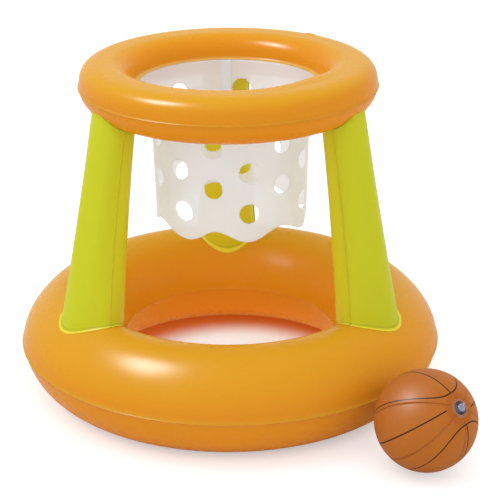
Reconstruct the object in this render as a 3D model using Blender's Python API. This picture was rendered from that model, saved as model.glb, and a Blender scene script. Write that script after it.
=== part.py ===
"""Floating basketball hoop with its ball, in metres, +Z up.

Two inflated rings are each welded from an upper and a lower film skin. Three tapered posts stand
on the base ring and carry the hoop ring. A punched film net hangs from the hoop ring's inner seam.
The hoop is modelled round its own vertical axis and the ball round its valve's axis, and two
empties place them. The origin lies under the middle of the box around both, on the floor.
"""

import math

import bmesh
import bpy
from mathutils import Matrix, Vector, geometry

# Film, welds and clearances
FILM = 0.00025
SEAT_GAP = 0.0003
SEAM_LIP = 0.0015
CUT_OVERRUN = 0.004

# Base ring: overall radius over the seam lip, radius at the root of the inner seam, section height
# and how much of it lies over the seam. Fullness is how far the upper skin's shoulders stand out
# beyond the plain arc, or, below 0, draw in
BASE_RADIUS = 0.335
BASE_INNER_RADIUS = 0.1705
BASE_HEIGHT = 0.1619
BASE_UPPER_SHARE = 0.5194
BASE_FULLNESS = -0.0040
BASE_FLAT_DEPTH = 0.0010
BASE_UPPER_LEAN = math.radians(3)
BASE_LOWER_LEAN = math.radians(10)
BASE_STEPS = 48
BASE_SECTION_STEPS = 8
SECTION_NUDGE = math.radians(0.1)

# Hoop ring, on top: its inner lip is wider, because the net is welded under it
HOOP_TOP = 0.5279
HOOP_RADIUS = 0.2304
HOOP_INNER_RADIUS = 0.1454
HOOP_HEIGHT = 0.0737
HOOP_UPPER_SHARE = 0.4925
HOOP_FULLNESS = 0.0050
HOOP_INNER_LIP = 0.003
HOOP_UPPER_LEAN = math.radians(3)
HOOP_LOWER_LEAN = math.radians(6)
HOOP_STEPS = 40
HOOP_SECTION_STEPS = 6

# Posts: bearings in degrees, then both ends' places and half-widths in shares of the half-width
# of the ring's section that they stand on or carry
POST_BEARINGS = {"back": 91, "left": 210, "right": 330}
POST_FOOT_INSET_SHARE = 0.103
POST_FOOT_RADIAL_SHARE = 0.589
POST_FOOT_TANGENTIAL_SHARE = 0.601
POST_HEAD_OUTSET_SHARE = 0.271
POST_HEAD_RADIAL_SHARE = 0.786
POST_HEAD_TANGENTIAL_SHARE = 0.874
POST_WAIST_DRAW = 0.0015
POST_FOOT_LIP = 0.0040
POST_HEAD_LIP = 0.0025
POST_SIDE_LIP = 0.0015
POST_INNER_LIP = 0.0015
POST_OVERRUN = 0.0300
POST_STEPS = 16
POST_WALL_STEPS = 4
VENT_RADIUS = 0.006

# Net: a strip with 14 columns of punched holes, its ends lapped at the back. The drops are
# measured down from the hoop ring's seam
NET_FILM = 0.0003
NET_COLUMNS = 14
NET_FIRST_COLUMN = math.radians(14)
NET_HOLE_RADIUS = 0.015
NET_HOLE_STEPS = 12
NET_LONG_COLUMN_DROPS = (0.1704, 0.1058, 0.0412)
NET_SHORT_COLUMN_DROPS = (0.1311, 0.0671)
NET_LOW_EDGE_DROP = 0.2156
NET_CREST_EDGE_DROP = 0.1991
NET_BODY_DRAW = 0.0207
NET_BODY_RADIUS = HOOP_INNER_RADIUS - NET_BODY_DRAW
NET_HEM_DRAW = 0.0017
NET_BODY_TOP_DROP = 0.0616
NET_LAP = 0.016
NET_LAP_STEP = 0.0006
NET_STEPS_PER_COLUMN = 3
NET_CLEAR_OF_HOLE = 0.006
NET_ROW_SHARES = (0.15, 0.35, 0.55, 0.72, 0.87)

# Valve: a film flange on the skin, a stem that pushes in through it, and a plug on a strap
VALVE_FLANGE_RADIUS = 0.0140
VALVE_FLANGE = 0.0004
VALVE_HOLE_RADIUS = 0.0054
STEM_RADIUS = 0.0047
STEM_BORE_RADIUS = 0.0038
STEM_TRAVEL = 0.0100
STEM_COLLAR_RADIUS = 0.0058
STEM_COLLAR = 0.0012
STEM_FOOT_RADIUS = 0.0066
STEM_FOOT = 0.0008
EAR_WIDTH = 0.0036
HINGE_OFFSET = 0.0090
CAP_RADIUS = 0.0056
CAP = 0.0014
NOSE_LENGTH = 0.0040
NOSE_ROOT_RADIUS = 0.0036
NOSE_TIP_RADIUS = 0.0029
STRAP_WIDTH = 0.0028
STRAP = 0.0009
VALVE_STEPS = 16
BASE_VALVE_BEARING = math.radians(131)
BASE_VALVE_SECTION_ANGLE = math.radians(40)
HOOP_VALVE_BEARING = math.radians(49)
HOOP_VALVE_SECTION_ANGLE = math.radians(45)

# Ball: six gores and two round patches, standing by itself on the floor
BALL_RADIUS = 0.0752
BALL_GAP = 0.0160
BALL_BEARING = math.radians(-48.6)
BALL_VALVE_BEARING = math.radians(-47.4)
BALL_VALVE_ELEVATION = math.radians(34.7)
BALL_SPIN = math.radians(27)
BALL_GORES = 6
GORE_COLUMNS = 4
GORE_ROWS = 10
PATCH_WELD = 0.0040
PATCH_RING_SHARES = (0.4, 0.75)

COLOURS = {
    "orange_film": ((0.79, 0.31, 0.025, 1.0), 0.22),
    "green_film": ((0.54, 0.60, 0.03, 1.0), 0.28),
    "frosted_film": ((0.76, 0.70, 0.69, 1.0), 0.35),
    "ball_film": ((0.58, 0.16, 0.025, 1.0), 0.32),
    "clear_plastic": ((0.80, 0.80, 0.78, 1.0), 0.15),
}


class Ring:
    """A ring of two film skins that meet at a level seam.

    Each skin's section is an arc that reaches the seam with a slight lean. A place on it is given
    by an angle from the outer seam (0) over the crown (a quarter turn) to the inner seam (a half).
    """

    def __init__(self, width, heights, fullness, leans, inner_lip, steps, section_steps, flat=0):
        outer, inner = width
        self.bottom, height, upper_share = heights
        self.steps = steps
        self.section_steps = section_steps
        self.centre = (outer - SEAM_LIP + inner) / 2
        self.half_width = (outer - SEAM_LIP - inner) / 2
        self.rise = SEAT_GAP / 2 + FILM
        over, under = height * upper_share, height * (1 - upper_share)
        self.crowns = {UPPER: over - self.rise, LOWER: under - self.rise}
        self.fullness = {UPPER: fullness, LOWER: 0}
        self.seam = self.bottom + under
        self.top = self.seam + over
        self.leans = leans
        self.inner_lip = inner_lip
        self.flat = flat

    def arc(self, side, angle):
        """Width and height of the film's outer face over the seam lip's face."""
        lean = self.leans[side]
        turn = lean + (math.pi - 2 * lean) * angle / math.pi
        across = self.half_width * math.cos(turn) / math.cos(lean)
        up = self.crowns[side] * (math.sin(turn) - math.sin(lean)) / (1 - math.sin(lean))
        swell = self.fullness[side] * math.sin(2 * angle) ** 2
        return Vector((across + swell * math.cos(angle), up + swell * math.sin(angle)))

    def half_section(self, side, angle):
        """The face's width and height at a section angle, and its normal."""
        across, up = self.arc(side, angle)
        run = self.arc(side, angle + SECTION_NUDGE) - self.arc(side, angle - SECTION_NUDGE)
        return across, up, Vector((run.y, -run.x)).normalized()

    def place(self, side, bearing, angle):
        """The point and the normal of the outer face at this bearing and section angle."""
        across, up, normal = self.half_section(side, angle)
        outwards = Vector((math.cos(bearing), math.sin(bearing), 0))
        point = outwards * (self.centre + across)
        point.z = self.seam + side * (self.rise + up)
        return point, (outwards * normal.x + Vector((0, 0, side * normal.y))).normalized()

    def facet(self, side, bearing, angle):
        """The middle and the normal of the flat facet that holds this place on the outer face."""
        column = math.floor(bearing / math.tau * self.steps)
        row = math.floor(angle / math.pi * self.section_steps)
        corners = []
        for across, along in ((0, 0), (1, 0), (1, 1), (0, 1)):
            turn = math.tau * (column + across) / self.steps
            rise = math.pi * (row + along) / self.section_steps
            corners.append(self.place(side, turn, rise)[0])
        normal = geometry.normal(corners)
        if normal.dot(self.place(side, bearing, angle)[1]) < 0:
            normal.negate()
        return sum(corners, Vector((0, 0, 0))) / len(corners), normal

    def angle_of(self, side, point):
        """The section angle at which a ray from the section's middle to this point leaves it."""
        across = math.hypot(point.x, point.y) - self.centre
        up = max(side * (point.z - self.seam) - self.rise, 0)
        wanted = math.atan2(up, across)
        low, high = 0, math.pi
        for _ in range(40):
            middle = (low + high) / 2
            found_across, found_up, _ = self.half_section(side, middle)
            if math.atan2(found_up, found_across) < wanted:
                low = middle
            else:
                high = middle
        return (low + high) / 2

    def lay(self, side, point):
        """The point moved onto the outer face, and the normal there."""
        bearing = math.atan2(point.y, point.x)
        return self.place(side, bearing, self.angle_of(side, point))

    def holds(self, side, point):
        """Whether the point lies inside the ring."""
        laid, normal = self.lay(side, point)
        return (point - laid).dot(normal) < 0

    def face_outline(self, side, lift=0):
        """The film's outer face as (radius, height over the seam), raised by the lift."""
        places = [math.pi * step / self.section_steps for step in range(self.section_steps + 1)]
        face = [self.half_section(side, angle) for angle in places]
        line = [Vector((across, self.rise + up)) for across, up, _ in face]
        ways = [(after - before).orthogonal().normalized() for before, after in zip(line, line[1:])]
        ways = [-way if way.dot(before + after) < 0 else way
                for way, before, after in zip(ways, line, line[1:])]
        raised = []
        for point, before, after in zip(line, ways[:1] + ways, ways + ways[-1:]):
            mitre = (before + after).normalized()
            raised.append(point + mitre * lift / mitre.dot(after))
        if side < 0 and self.flat:
            raised = self.flattened(raised, self.crowns[side] + self.rise - self.flat + lift)
        return [(self.centre + across, up) for across, up in raised]

    def flattened(self, line, limit):
        """The line with all that rises over the limit cut off level."""
        cut = []
        for before, after in zip(line, line[1:]):
            if before.y <= limit:
                cut.append(before)
            if (before.y - limit) * (after.y - limit) < 0:
                cut.append(before.lerp(after, (limit - before.y) / (after.y - before.y)))
        return cut + line[-1:]

    def on_side(self, side, outline):
        return [(radius, self.seam + side * height) for radius, height in outline]

    def skin_outline(self, side):
        """The closed outline of one skin's section: lips at both seams and the film between."""
        lip = SEAT_GAP / 2
        back = self.face_outline(side, -FILM)
        back[0] = (self.centre + self.half_width - FILM, lip)
        back[-1] = (self.centre - self.half_width + FILM, lip)
        outer_tip = self.centre + self.half_width + SEAM_LIP
        inner_tip = self.centre - self.half_width - self.inner_lip
        outline = [(outer_tip, lip), (outer_tip, self.rise)] + self.face_outline(side)
        outline += [(inner_tip, self.rise), (inner_tip, lip)] + back[::-1]
        return self.on_side(side, outline)

    def band_outline(self, side, low, high):
        """A sheath over the outer face, between two lifts."""
        return self.on_side(side, self.face_outline(side, high) + self.face_outline(side, low)[::-1])

    def fill_outline(self, side, lift):
        """All that lies under the outer face raised by the lift, down to the seam's level."""
        face = self.face_outline(side, lift)
        return self.on_side(side, [(face[0][0], 0)] + face + [(face[-1][0], 0)])


UPPER, LOWER = 1, -1
BASE = Ring(
    (BASE_RADIUS, BASE_INNER_RADIUS),
    (-BASE_FLAT_DEPTH, BASE_HEIGHT, BASE_UPPER_SHARE),
    BASE_FULLNESS,
    {UPPER: BASE_UPPER_LEAN, LOWER: BASE_LOWER_LEAN},
    SEAM_LIP,
    BASE_STEPS,
    BASE_SECTION_STEPS,
    BASE_FLAT_DEPTH,
)
HOOP = Ring(
    (HOOP_RADIUS, HOOP_INNER_RADIUS),
    (HOOP_TOP - HOOP_HEIGHT, HOOP_HEIGHT, HOOP_UPPER_SHARE),
    HOOP_FULLNESS,
    {UPPER: HOOP_UPPER_LEAN, LOWER: HOOP_LOWER_LEAN},
    HOOP_INNER_LIP,
    HOOP_STEPS,
    HOOP_SECTION_STEPS,
)


def material(name):
    found = bpy.data.materials.get(name)
    if found:
        return found
    colour, roughness = COLOURS[name]
    made = bpy.data.materials.new(name)
    made.use_nodes = True
    made.diffuse_color = colour
    shader = made.node_tree.nodes["Principled BSDF"]
    shader.inputs["Base Color"].default_value = colour
    shader.inputs["Roughness"].default_value = roughness
    shader.inputs["Metallic"].default_value = 0
    return made


def empty(name, parent, matrix):
    made = bpy.data.objects.new(name, None)
    made.parent = parent
    made.matrix_local = matrix
    bpy.context.collection.objects.link(made)
    return made


def mesh_object(name, points, faces, material_name, parent, offset=Vector((0, 0, 0))):
    """A smooth-shaded object whose origin is at the offset in its parent's frame."""
    mesh = bpy.data.meshes.new(name)
    mesh.from_pydata([Vector(point) - offset for point in points], [], faces)
    mesh.materials.append(material(material_name))
    mesh.shade_smooth()
    mesh.set_sharp_from_angle(angle=math.radians(40))
    made = bpy.data.objects.new(name, mesh)
    made.parent = parent
    made.location = offset
    bpy.context.collection.objects.link(made)
    return made


def face_out(mesh):
    work = bmesh.new()
    work.from_mesh(mesh)
    bmesh.ops.recalc_face_normals(work, faces=work.faces)
    work.to_mesh(mesh)
    work.free()


def revolved(name, outline, steps, material_name, parent, offset=Vector((0, 0, 0))):
    """A closed outline of (radius, height) points turned round Z. Radius 0 is on the axis."""
    points, rings = [], []
    for radius, height in outline:
        copies = 1 if radius == 0 else steps
        rings.append([len(points) + step for step in range(copies)])
        for step in range(copies):
            turn = math.tau * step / steps
            points.append(Vector((radius * math.cos(turn), radius * math.sin(turn), height)))
    faces = []
    for first, second in zip(rings, rings[1:] + rings[:1]):
        if len(first) == 1 and len(second) == 1:
            continue
        for step in range(steps):
            after = (step + 1) % steps
            corners = [first[step % len(first)], first[after % len(first)]]
            corners += [second[after % len(second)], second[step % len(second)]]
            faces.append(list(dict.fromkeys(corners)))
    made = mesh_object(name, points, faces, material_name, parent, offset)
    face_out(made.data)
    return made


def film_sheet(name, points, faces, outwards, material_name, parent, grow=FILM):
    """An open sheet thickened by the film, towards outwards(middle of a face) if grow is above 0."""
    lean = 0
    for face in faces:
        corners = [points[index] for index in face]
        middle = sum(corners, Vector((0, 0, 0))) / len(corners)
        lean += geometry.normal(corners).dot(outwards(middle))
    if lean < 0:
        faces = [face[::-1] for face in faces]
    made = mesh_object(name, points, faces, material_name, parent)
    thicken = made.modifiers.new("film", "SOLIDIFY")
    thicken.thickness = abs(grow)
    thicken.offset = 1 if grow > 0 else -1
    thicken.use_even_offset = True
    thicken.use_quality_normals = True
    return made


def grid(rows, wrap):
    """Points and quads of a grid. With wrap, each row closes on itself."""
    width = len(rows[0])
    points = [point for row in rows for point in row]
    faces = []
    for row in range(len(rows) - 1):
        for column in range(width if wrap else width - 1):
            beside = (column + 1) % width
            first, second = row * width, (row + 1) * width
            faces.append([first + column, first + beside, second + beside, second + column])
    return points, faces


def helper(made):
    """Marks a solid that only shapes others."""
    made.hide_render = True
    made.display_type = "WIRE"
    return made


def combine(target, other, operation):
    change = target.modifiers.new(other.name, "BOOLEAN")
    change.operation = operation
    change.solver = "EXACT"
    change.object = other
    return target


def loft(name, rows, material_name, parent):
    """A closed solid through rows of points that each run round it, with flat ends."""
    points, faces = grid(rows, wrap=True)
    last = len(points) - len(rows[-1])
    faces.append(list(range(len(rows[0]))))
    faces.append(list(range(last, len(points))))
    made = mesh_object(name, points, faces, material_name, parent)
    face_out(made.data)
    return made


def rod(name, matrix, radius, low, high, parent):
    """A round rod along the Z axis of the matrix, for cutting."""
    outline = [(0, low), (radius, low), (radius, high), (0, high)]
    made = revolved(name, outline, VALVE_STEPS, "clear_plastic", parent)
    made.matrix_local = matrix
    return helper(made)


def seat_matrix(point, normal):
    """A frame at the point, with Z along the normal and X level."""
    side = Vector((0, 0, 1)).cross(normal).normalized()
    frame = Matrix((side, normal.cross(side), normal)).transposed().to_4x4()
    return Matrix.Translation(point) @ frame


class Post:
    """A tapered film tube between the two rings, at a bearing from the hoop's axis."""

    def __init__(self, bearing):
        self.foot_radius = BASE.centre - BASE.half_width * POST_FOOT_INSET_SHARE
        self.foot_radial = BASE.half_width * POST_FOOT_RADIAL_SHARE
        self.foot_tangential = BASE.half_width * POST_FOOT_TANGENTIAL_SHARE
        self.head_radius = HOOP.centre + HOOP.half_width * POST_HEAD_OUTSET_SHARE
        self.head_radial = HOOP.half_width * POST_HEAD_RADIAL_SHARE
        self.head_tangential = HOOP.half_width * POST_HEAD_TANGENTIAL_SHARE
        self.out = Vector((math.cos(bearing), math.sin(bearing), 0))
        self.along = Vector((-math.sin(bearing), math.cos(bearing), 0))
        self.foot = BASE.top
        self.head = HOOP.bottom

    def share(self, height):
        return (height - self.foot) / (self.head - self.foot)

    def middle(self, height):
        share = self.share(height)
        point = self.out * (self.foot_radius + (self.head_radius - self.foot_radius) * share)
        point.z = height
        return point

    def wall(self, turn, height):
        """A point of the tube's inner face. Turn 0 faces away from the hoop's axis."""
        share = self.share(height)
        draw = POST_WAIST_DRAW * 4 * share * (1 - share)
        radial = self.foot_radial + (self.head_radial - self.foot_radial) * share - draw
        tangential = self.foot_tangential - draw
        tangential += (self.head_tangential - self.foot_tangential) * share
        across = self.out * radial * math.cos(turn) + self.along * tangential * math.sin(turn)
        return self.middle(height) + across

    def meeting(self, turn, ring, side):
        """The height at which this line of the tube meets the ring."""
        inside, outside = ring.seam, (self.foot + self.head) / 2
        for _ in range(40):
            middle = (inside + outside) / 2
            if ring.holds(side, self.wall(turn, middle)):
                inside = middle
            else:
                outside = middle
        return outside

    def landing(self, turn, ring, side, lip):
        """The point on the ring that lies this far out from where this line of the tube meets it."""
        height = self.meeting(turn, ring, side)
        root, normal = ring.lay(side, self.wall(turn, height))
        away = root - self.middle(height)
        away = (away - normal * away.dot(normal)).normalized()
        return ring.lay(side, root + away * lip)[0]

    def turns(self):
        return [math.tau * (step + 1 / 2) / POST_STEPS for step in range(POST_STEPS)]

    def prism(self, name, ring, side, lip, parent):
        """A prism along the tube through the outline of its lip on a ring."""
        axis = (self.middle(self.head) - self.middle(self.foot)).normalized()
        middle = self.middle(self.foot if ring is BASE else self.head)
        rows = []
        for reach in (-POST_OVERRUN, POST_OVERRUN):
            row = []
            for turn in self.turns():
                point = self.landing(turn, ring, side, lip)
                row.append(point + axis * (reach - (point - middle).dot(axis)))
            rows.append(row)
        return helper(loft(name, rows, "green_film", parent))

    def heights(self):
        low, high = self.foot - POST_OVERRUN, self.head + POST_OVERRUN
        return [low + (high - low) * step / POST_WALL_STEPS for step in range(POST_WALL_STEPS + 1)]

    def tube(self, name, parent):
        """The tube's bare wall, running on into both rings."""
        rows = []
        for height in self.heights():
            rows.append([self.wall(turn, height) for turn in self.turns()])
        for height in reversed(self.heights()):
            row = []
            for turn in self.turns():
                point = self.wall(turn, height)
                row.append(point + (point - self.middle(height)).normalized() * FILM)
            rows.append(row)
        points, faces = grid(rows + rows[:1], wrap=True)
        spare = len(rows) * POST_STEPS
        faces = [[index % spare for index in face] for face in faces]
        made = mesh_object(name, points[:spare], faces, "green_film", parent)
        face_out(made.data)
        return helper(made)

    def side_lips(self, name, turn, parent):
        """The two lips of one side seam as one strip, before the seam parts them."""
        rows = []
        half = self.out * (SEAT_GAP / 2 + FILM)
        for height in self.heights():
            edge = self.wall(turn, height)
            way = (edge - self.middle(height)).normalized()
            inner, outer = edge - way * POST_INNER_LIP, edge + way * (FILM + POST_SIDE_LIP)
            rows.append([inner - half, outer - half, outer + half, inner + half])
        return helper(loft(name, rows, "green_film", parent))

    def half_space(self, name, facing, parent):
        """A block over the half of the tube that faces this way (1 is away from the hoop's axis)."""
        rows = []
        for height in (self.foot - 2 * POST_OVERRUN, self.head + 2 * POST_OVERRUN):
            near = self.middle(height) + self.out * facing * SEAT_GAP / 2
            far = near + self.out * facing * 2 * self.foot_radial
            wide = self.along * 2 * self.foot_tangential
            rows.append([near - wide, near + wide, far + wide, far - wide])
        return loft(name, rows, "green_film", parent)


def ring_sheath(name, ring, side, low, high, material_name, parent):
    return revolved(name, ring.band_outline(side, low, high), ring.steps, material_name, parent)


def post_lip(post, word, ring, side, lip, parent):
    """The flat lip at one end of a tube: a band on the disc, inside and outside the tube's wall."""
    lift = SEAT_GAP + FILM + SEAT_GAP
    made = ring_sheath(word + "_lip", ring, side, lift, lift + FILM, "green_film", parent)
    combine(made, post.prism(word + "_lip_outside", ring, side, lip, parent), "INTERSECT")
    combine(made, post.prism(word + "_lip_inside", ring, side, -POST_INNER_LIP, parent), "DIFFERENCE")
    return helper(made)


def post_disc(post, word, ring, side, lip, parent):
    """The film disc between a ring and the tube's lip. It has the ring's own saddle shape."""
    made = ring_sheath(word + "_disc", ring, side, SEAT_GAP, SEAT_GAP + FILM, "green_film", parent)
    return combine(made, post.prism(word + "_disc_outline", ring, side, lip, parent), "INTERSECT")


def post_panels(post, word, parent):
    """The tube, welded from an outer and an inner panel: walls, side lips and a lip at each end."""
    tube = post.tube(word + "_tube", parent)
    for label, turn in (("near", math.pi / 2), ("far", -math.pi / 2)):
        combine(tube, post.side_lips(word + "_side_lip_" + label, turn, parent), "UNION")
    lift = SEAT_GAP + FILM + SEAT_GAP
    for end, ring, side, lip in (
        ("foot", BASE, UPPER, POST_FOOT_LIP),
        ("head", HOOP, LOWER, POST_HEAD_LIP),
    ):
        fill = ring.fill_outline(side, lift + FILM / 2)
        below = revolved(word + "_" + end + "_trim", fill, ring.steps, "green_film", parent)
        combine(tube, helper(below), "DIFFERENCE")
        combine(tube, post_lip(post, word + "_" + end, ring, side, lip, parent), "UNION")
    for label, facing in (("outer", 1), ("inner", -1)):
        panel = post.half_space(word + "_" + label + "_panel", facing, parent)
        combine(panel, tube, "INTERSECT")


def net_radius(height, top):
    """The sleeve's inner radius: it flares from the body to the seam it hangs from."""
    body_top = HOOP.seam - NET_BODY_TOP_DROP
    if height < body_top:
        share = (body_top - height) / (NET_LOW_EDGE_DROP - NET_BODY_TOP_DROP)
        return NET_BODY_RADIUS - NET_HEM_DRAW * share
    share = (height - body_top) / (top - body_top)
    mouth = HOOP_INNER_RADIUS - HOOP_INNER_LIP - NET_FILM
    return NET_BODY_RADIUS + (mouth - NET_BODY_RADIUS) * share * (1 + share) / 2


def net_holes():
    """Bearing and height of each punched hole: columns of three and of two take turns."""
    found = []
    for column in range(NET_COLUMNS):
        bearing = NET_FIRST_COLUMN + math.tau * column / NET_COLUMNS
        drops = NET_SHORT_COLUMN_DROPS if column % 2 else NET_LONG_COLUMN_DROPS
        found.extend((bearing, HOOP.seam - drop) for drop in drops)
    return found


def net_edge(bearing):
    """Height of the scalloped lower edge, lowest under each column of three."""
    middle_drop = (NET_LOW_EDGE_DROP + NET_CREST_EDGE_DROP) / 2
    wave = math.cos((bearing - NET_FIRST_COLUMN) * NET_COLUMNS / 2)
    return HOOP.seam - middle_drop - (NET_LOW_EDGE_DROP - NET_CREST_EDGE_DROP) / 2 * wave


def net_flat_sheet(top):
    """The strip laid flat: points (bearing, height) and triangles, with its holes left out."""
    column = math.tau / NET_COLUMNS
    start = NET_FIRST_COLUMN + column * (NET_COLUMNS // 2 - 1 / 2)
    scale = NET_BODY_RADIUS
    lap = NET_LAP / 2 / scale
    lap_step = NET_LAP_STEP / scale
    steps = NET_COLUMNS * NET_STEPS_PER_COLUMN
    ways = [start + math.tau * step / steps for step in range(steps + 1)]
    for way in (lap, lap + lap_step):
        ways += [start + way, start + math.tau - way]
    ways.sort()
    holes = [(start + (bearing - start) % math.tau, height) for bearing, height in net_holes()]
    points = [(way, net_edge(way)) for way in ways] + [(way, top) for way in reversed(ways)]
    count = len(points)
    edges = [(index, (index + 1) % count) for index in range(count)]
    for bearing, height in holes:
        first = len(points)
        for step in range(NET_HOLE_STEPS):
            turn = math.tau * (step + 1 / 2) / NET_HOLE_STEPS
            points.append((
                bearing + NET_HOLE_RADIUS * math.cos(turn) / scale,
                height + NET_HOLE_RADIUS * math.sin(turn),
            ))
            edges.append((first + step, first + (step + 1) % NET_HOLE_STEPS))
    stations = [start + column * step / 2 for step in range(2 * NET_COLUMNS + 1)]
    stations += [way for way in ways if min(way - start, start + math.tau - way) < 2 * lap]
    rows = [net_edge(start) + (top - net_edge(start)) * share for share in NET_ROW_SHARES]
    for way in sorted(set(stations)):
        for height in rows:
            near = min(math.hypot((way - bearing) * scale, height - hole) for bearing, hole in holes)
            if near > NET_HOLE_RADIUS + NET_CLEAR_OF_HOLE:
                points.append((way, height))
    flat = [Vector((way * scale, height)) for way, height in points]
    made = geometry.delaunay_2d_cdt(flat, edges, [], 0, NET_LAP_STEP / 100)
    inside = NET_HOLE_RADIUS * math.cos(math.pi / NET_HOLE_STEPS)
    kept = []
    for face in made[2]:
        x = sum(made[0][index].x for index in face) / len(face)
        y = sum(made[0][index].y for index in face) / len(face)
        clear = all(math.hypot(x - way * scale, y - hole) > inside for way, hole in holes)
        if clear and y > net_edge(x / scale):
            kept.append(list(face))
    laps = [start, start + math.tau]
    return [(point.x / scale, point.y) for point in made[0]], kept, laps, lap


def net(parent):
    """The sleeve: the flat strip rolled up, with a flange that is welded under the seam's lip."""
    top = HOOP.seam - SEAT_GAP / 2 - FILM - SEAT_GAP
    flat, faces, laps, lap = net_flat_sheet(top)
    points, doubled = [], []
    for bearing, height in flat:
        radius = net_radius(height, top)
        points.append(Vector((radius * math.sin(bearing), -radius * math.cos(bearing), height)))
        doubled.append(min(abs(bearing - way) for way in laps) < lap + NET_LAP_STEP / 10)
    rim = [index for index, (_, height) in enumerate(flat) if top - height < NET_LAP_STEP / 10]
    rim.sort(key=lambda index: flat[index][0])
    for index in rim:
        bearing = flat[index][0]
        radius = HOOP_INNER_RADIUS * math.cos(math.pi / HOOP_STEPS) - SEAT_GAP
        points.append(Vector((radius * math.sin(bearing), -radius * math.cos(bearing), top)))
        doubled.append(doubled[index])
    first = len(flat)
    for step in range(len(rim) - 1):
        faces.append([rim[step], rim[step + 1], first + step + 1, first + step])
    work = bmesh.new()
    weight = work.verts.layers.float.new("doubled")
    verts = [work.verts.new(point) for point in points]
    for vert, is_doubled in zip(verts, doubled):
        vert[weight] = float(is_doubled)
    for face in faces:
        work.faces.new([verts[index] for index in face])
    bmesh.ops.remove_doubles(work, verts=work.verts, dist=NET_LAP_STEP / 10)
    bmesh.ops.recalc_face_normals(work, faces=work.faces)
    work.verts.index_update()
    points = [vert.co.copy() for vert in work.verts]
    doubled = [vert[weight] for vert in work.verts]
    faces = [[vert.index for vert in face.verts] for face in work.faces]
    work.free()

    def outwards(middle):
        return Vector((middle.x, middle.y, 0)).normalized()

    sleeve = film_sheet("net_sleeve", points, faces, outwards, "frosted_film", parent, 2 * NET_FILM)
    group = sleeve.vertex_groups.new(name="lap")
    for index, weight in enumerate(doubled):
        group.add([index], (1 + weight) / 2, "REPLACE")
    thicken = sleeve.modifiers["film"]
    thicken.vertex_group = group.name
    return sleeve


def join_box(target, name, low, high, offset):
    """Joins a box between two corners, given in the parent's frame, to the target."""
    sides = list(zip(low, high))
    corners = [(x, y, z) for x in sides[0] for y in sides[1] for z in sides[2]]
    faces = [(0, 1, 3, 2), (4, 6, 7, 5), (0, 4, 5, 1), (2, 3, 7, 6), (0, 2, 6, 4), (1, 5, 7, 3)]
    box = mesh_object(name, corners, faces, "clear_plastic", target.parent, offset)
    face_out(box.data)
    combine(target, helper(box), "UNION")


def valve(prefix, seat, parent):
    """Stem and plug at a seat frame whose Z leaves the skin. The stem lies pushed in."""
    frame = empty(prefix + "_seat", parent, seat)
    collar_base = SEAT_GAP + VALVE_FLANGE + SEAT_GAP
    collar_top = collar_base + STEM_COLLAR
    foot_top = -(FILM + 2 * SEAT_GAP + STEM_TRAVEL)
    foot_base = foot_top - STEM_FOOT
    stem_outline = [
        (STEM_BORE_RADIUS, foot_base),
        (STEM_FOOT_RADIUS, foot_base),
        (STEM_FOOT_RADIUS, foot_top),
        (STEM_RADIUS, foot_top),
        (STEM_RADIUS, collar_base),
        (STEM_COLLAR_RADIUS, collar_base),
        (STEM_COLLAR_RADIUS, collar_top),
        (STEM_BORE_RADIUS, collar_top),
    ]
    stem = revolved(prefix + "_stem", stem_outline, VALVE_STEPS, "clear_plastic", frame)
    ear_low = ((STEM_RADIUS + STEM_BORE_RADIUS) / 2, -EAR_WIDTH / 2, collar_base + STEM_COLLAR / 4)
    ear_high = (HINGE_OFFSET, EAR_WIDTH / 2, collar_top - SEAT_GAP / 2)
    join_box(stem, prefix + "_ear", ear_low, ear_high, Vector((0, 0, 0)))

    cap_base = collar_top + SEAT_GAP
    hinge = Vector((HINGE_OFFSET, 0, cap_base))
    cap_outline = [
        (0, cap_base - NOSE_LENGTH),
        (NOSE_TIP_RADIUS, cap_base - NOSE_LENGTH),
        (NOSE_ROOT_RADIUS, cap_base),
        (CAP_RADIUS, cap_base),
        (CAP_RADIUS, cap_base + CAP),
        (0, cap_base + CAP),
    ]
    plug = revolved(prefix + "_plug", cap_outline, VALVE_STEPS, "clear_plastic", frame, hinge)
    strap_low = (NOSE_ROOT_RADIUS, -STRAP_WIDTH / 2, cap_base + CAP / 10)
    strap_high = (HINGE_OFFSET, STRAP_WIDTH / 2, cap_base + CAP / 10 + STRAP)
    join_box(plug, prefix + "_strap", strap_low, strap_high, hinge)
    return stem


def ring_valve(prefix, ring, bearing, angle, skin, parent):
    """A valve square on a facet of a ring's upper skin, with its flange over the skin."""
    seat = seat_matrix(*ring.facet(UPPER, bearing, angle))
    hole = rod(prefix + "_hole", seat, VALVE_HOLE_RADIUS, -CUT_OVERRUN, CUT_OVERRUN, parent)
    combine(skin, hole, "DIFFERENCE")
    top = SEAT_GAP + VALVE_FLANGE
    flange = ring_sheath(prefix + "_flange", ring, UPPER, SEAT_GAP, top, "clear_plastic", parent)
    disc = rod(prefix + "_disc", seat, VALVE_FLANGE_RADIUS, -CUT_OVERRUN, CUT_OVERRUN, parent)
    combine(flange, disc, "INTERSECT")
    combine(flange, hole, "DIFFERENCE")
    valve(prefix, seat, parent)


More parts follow.
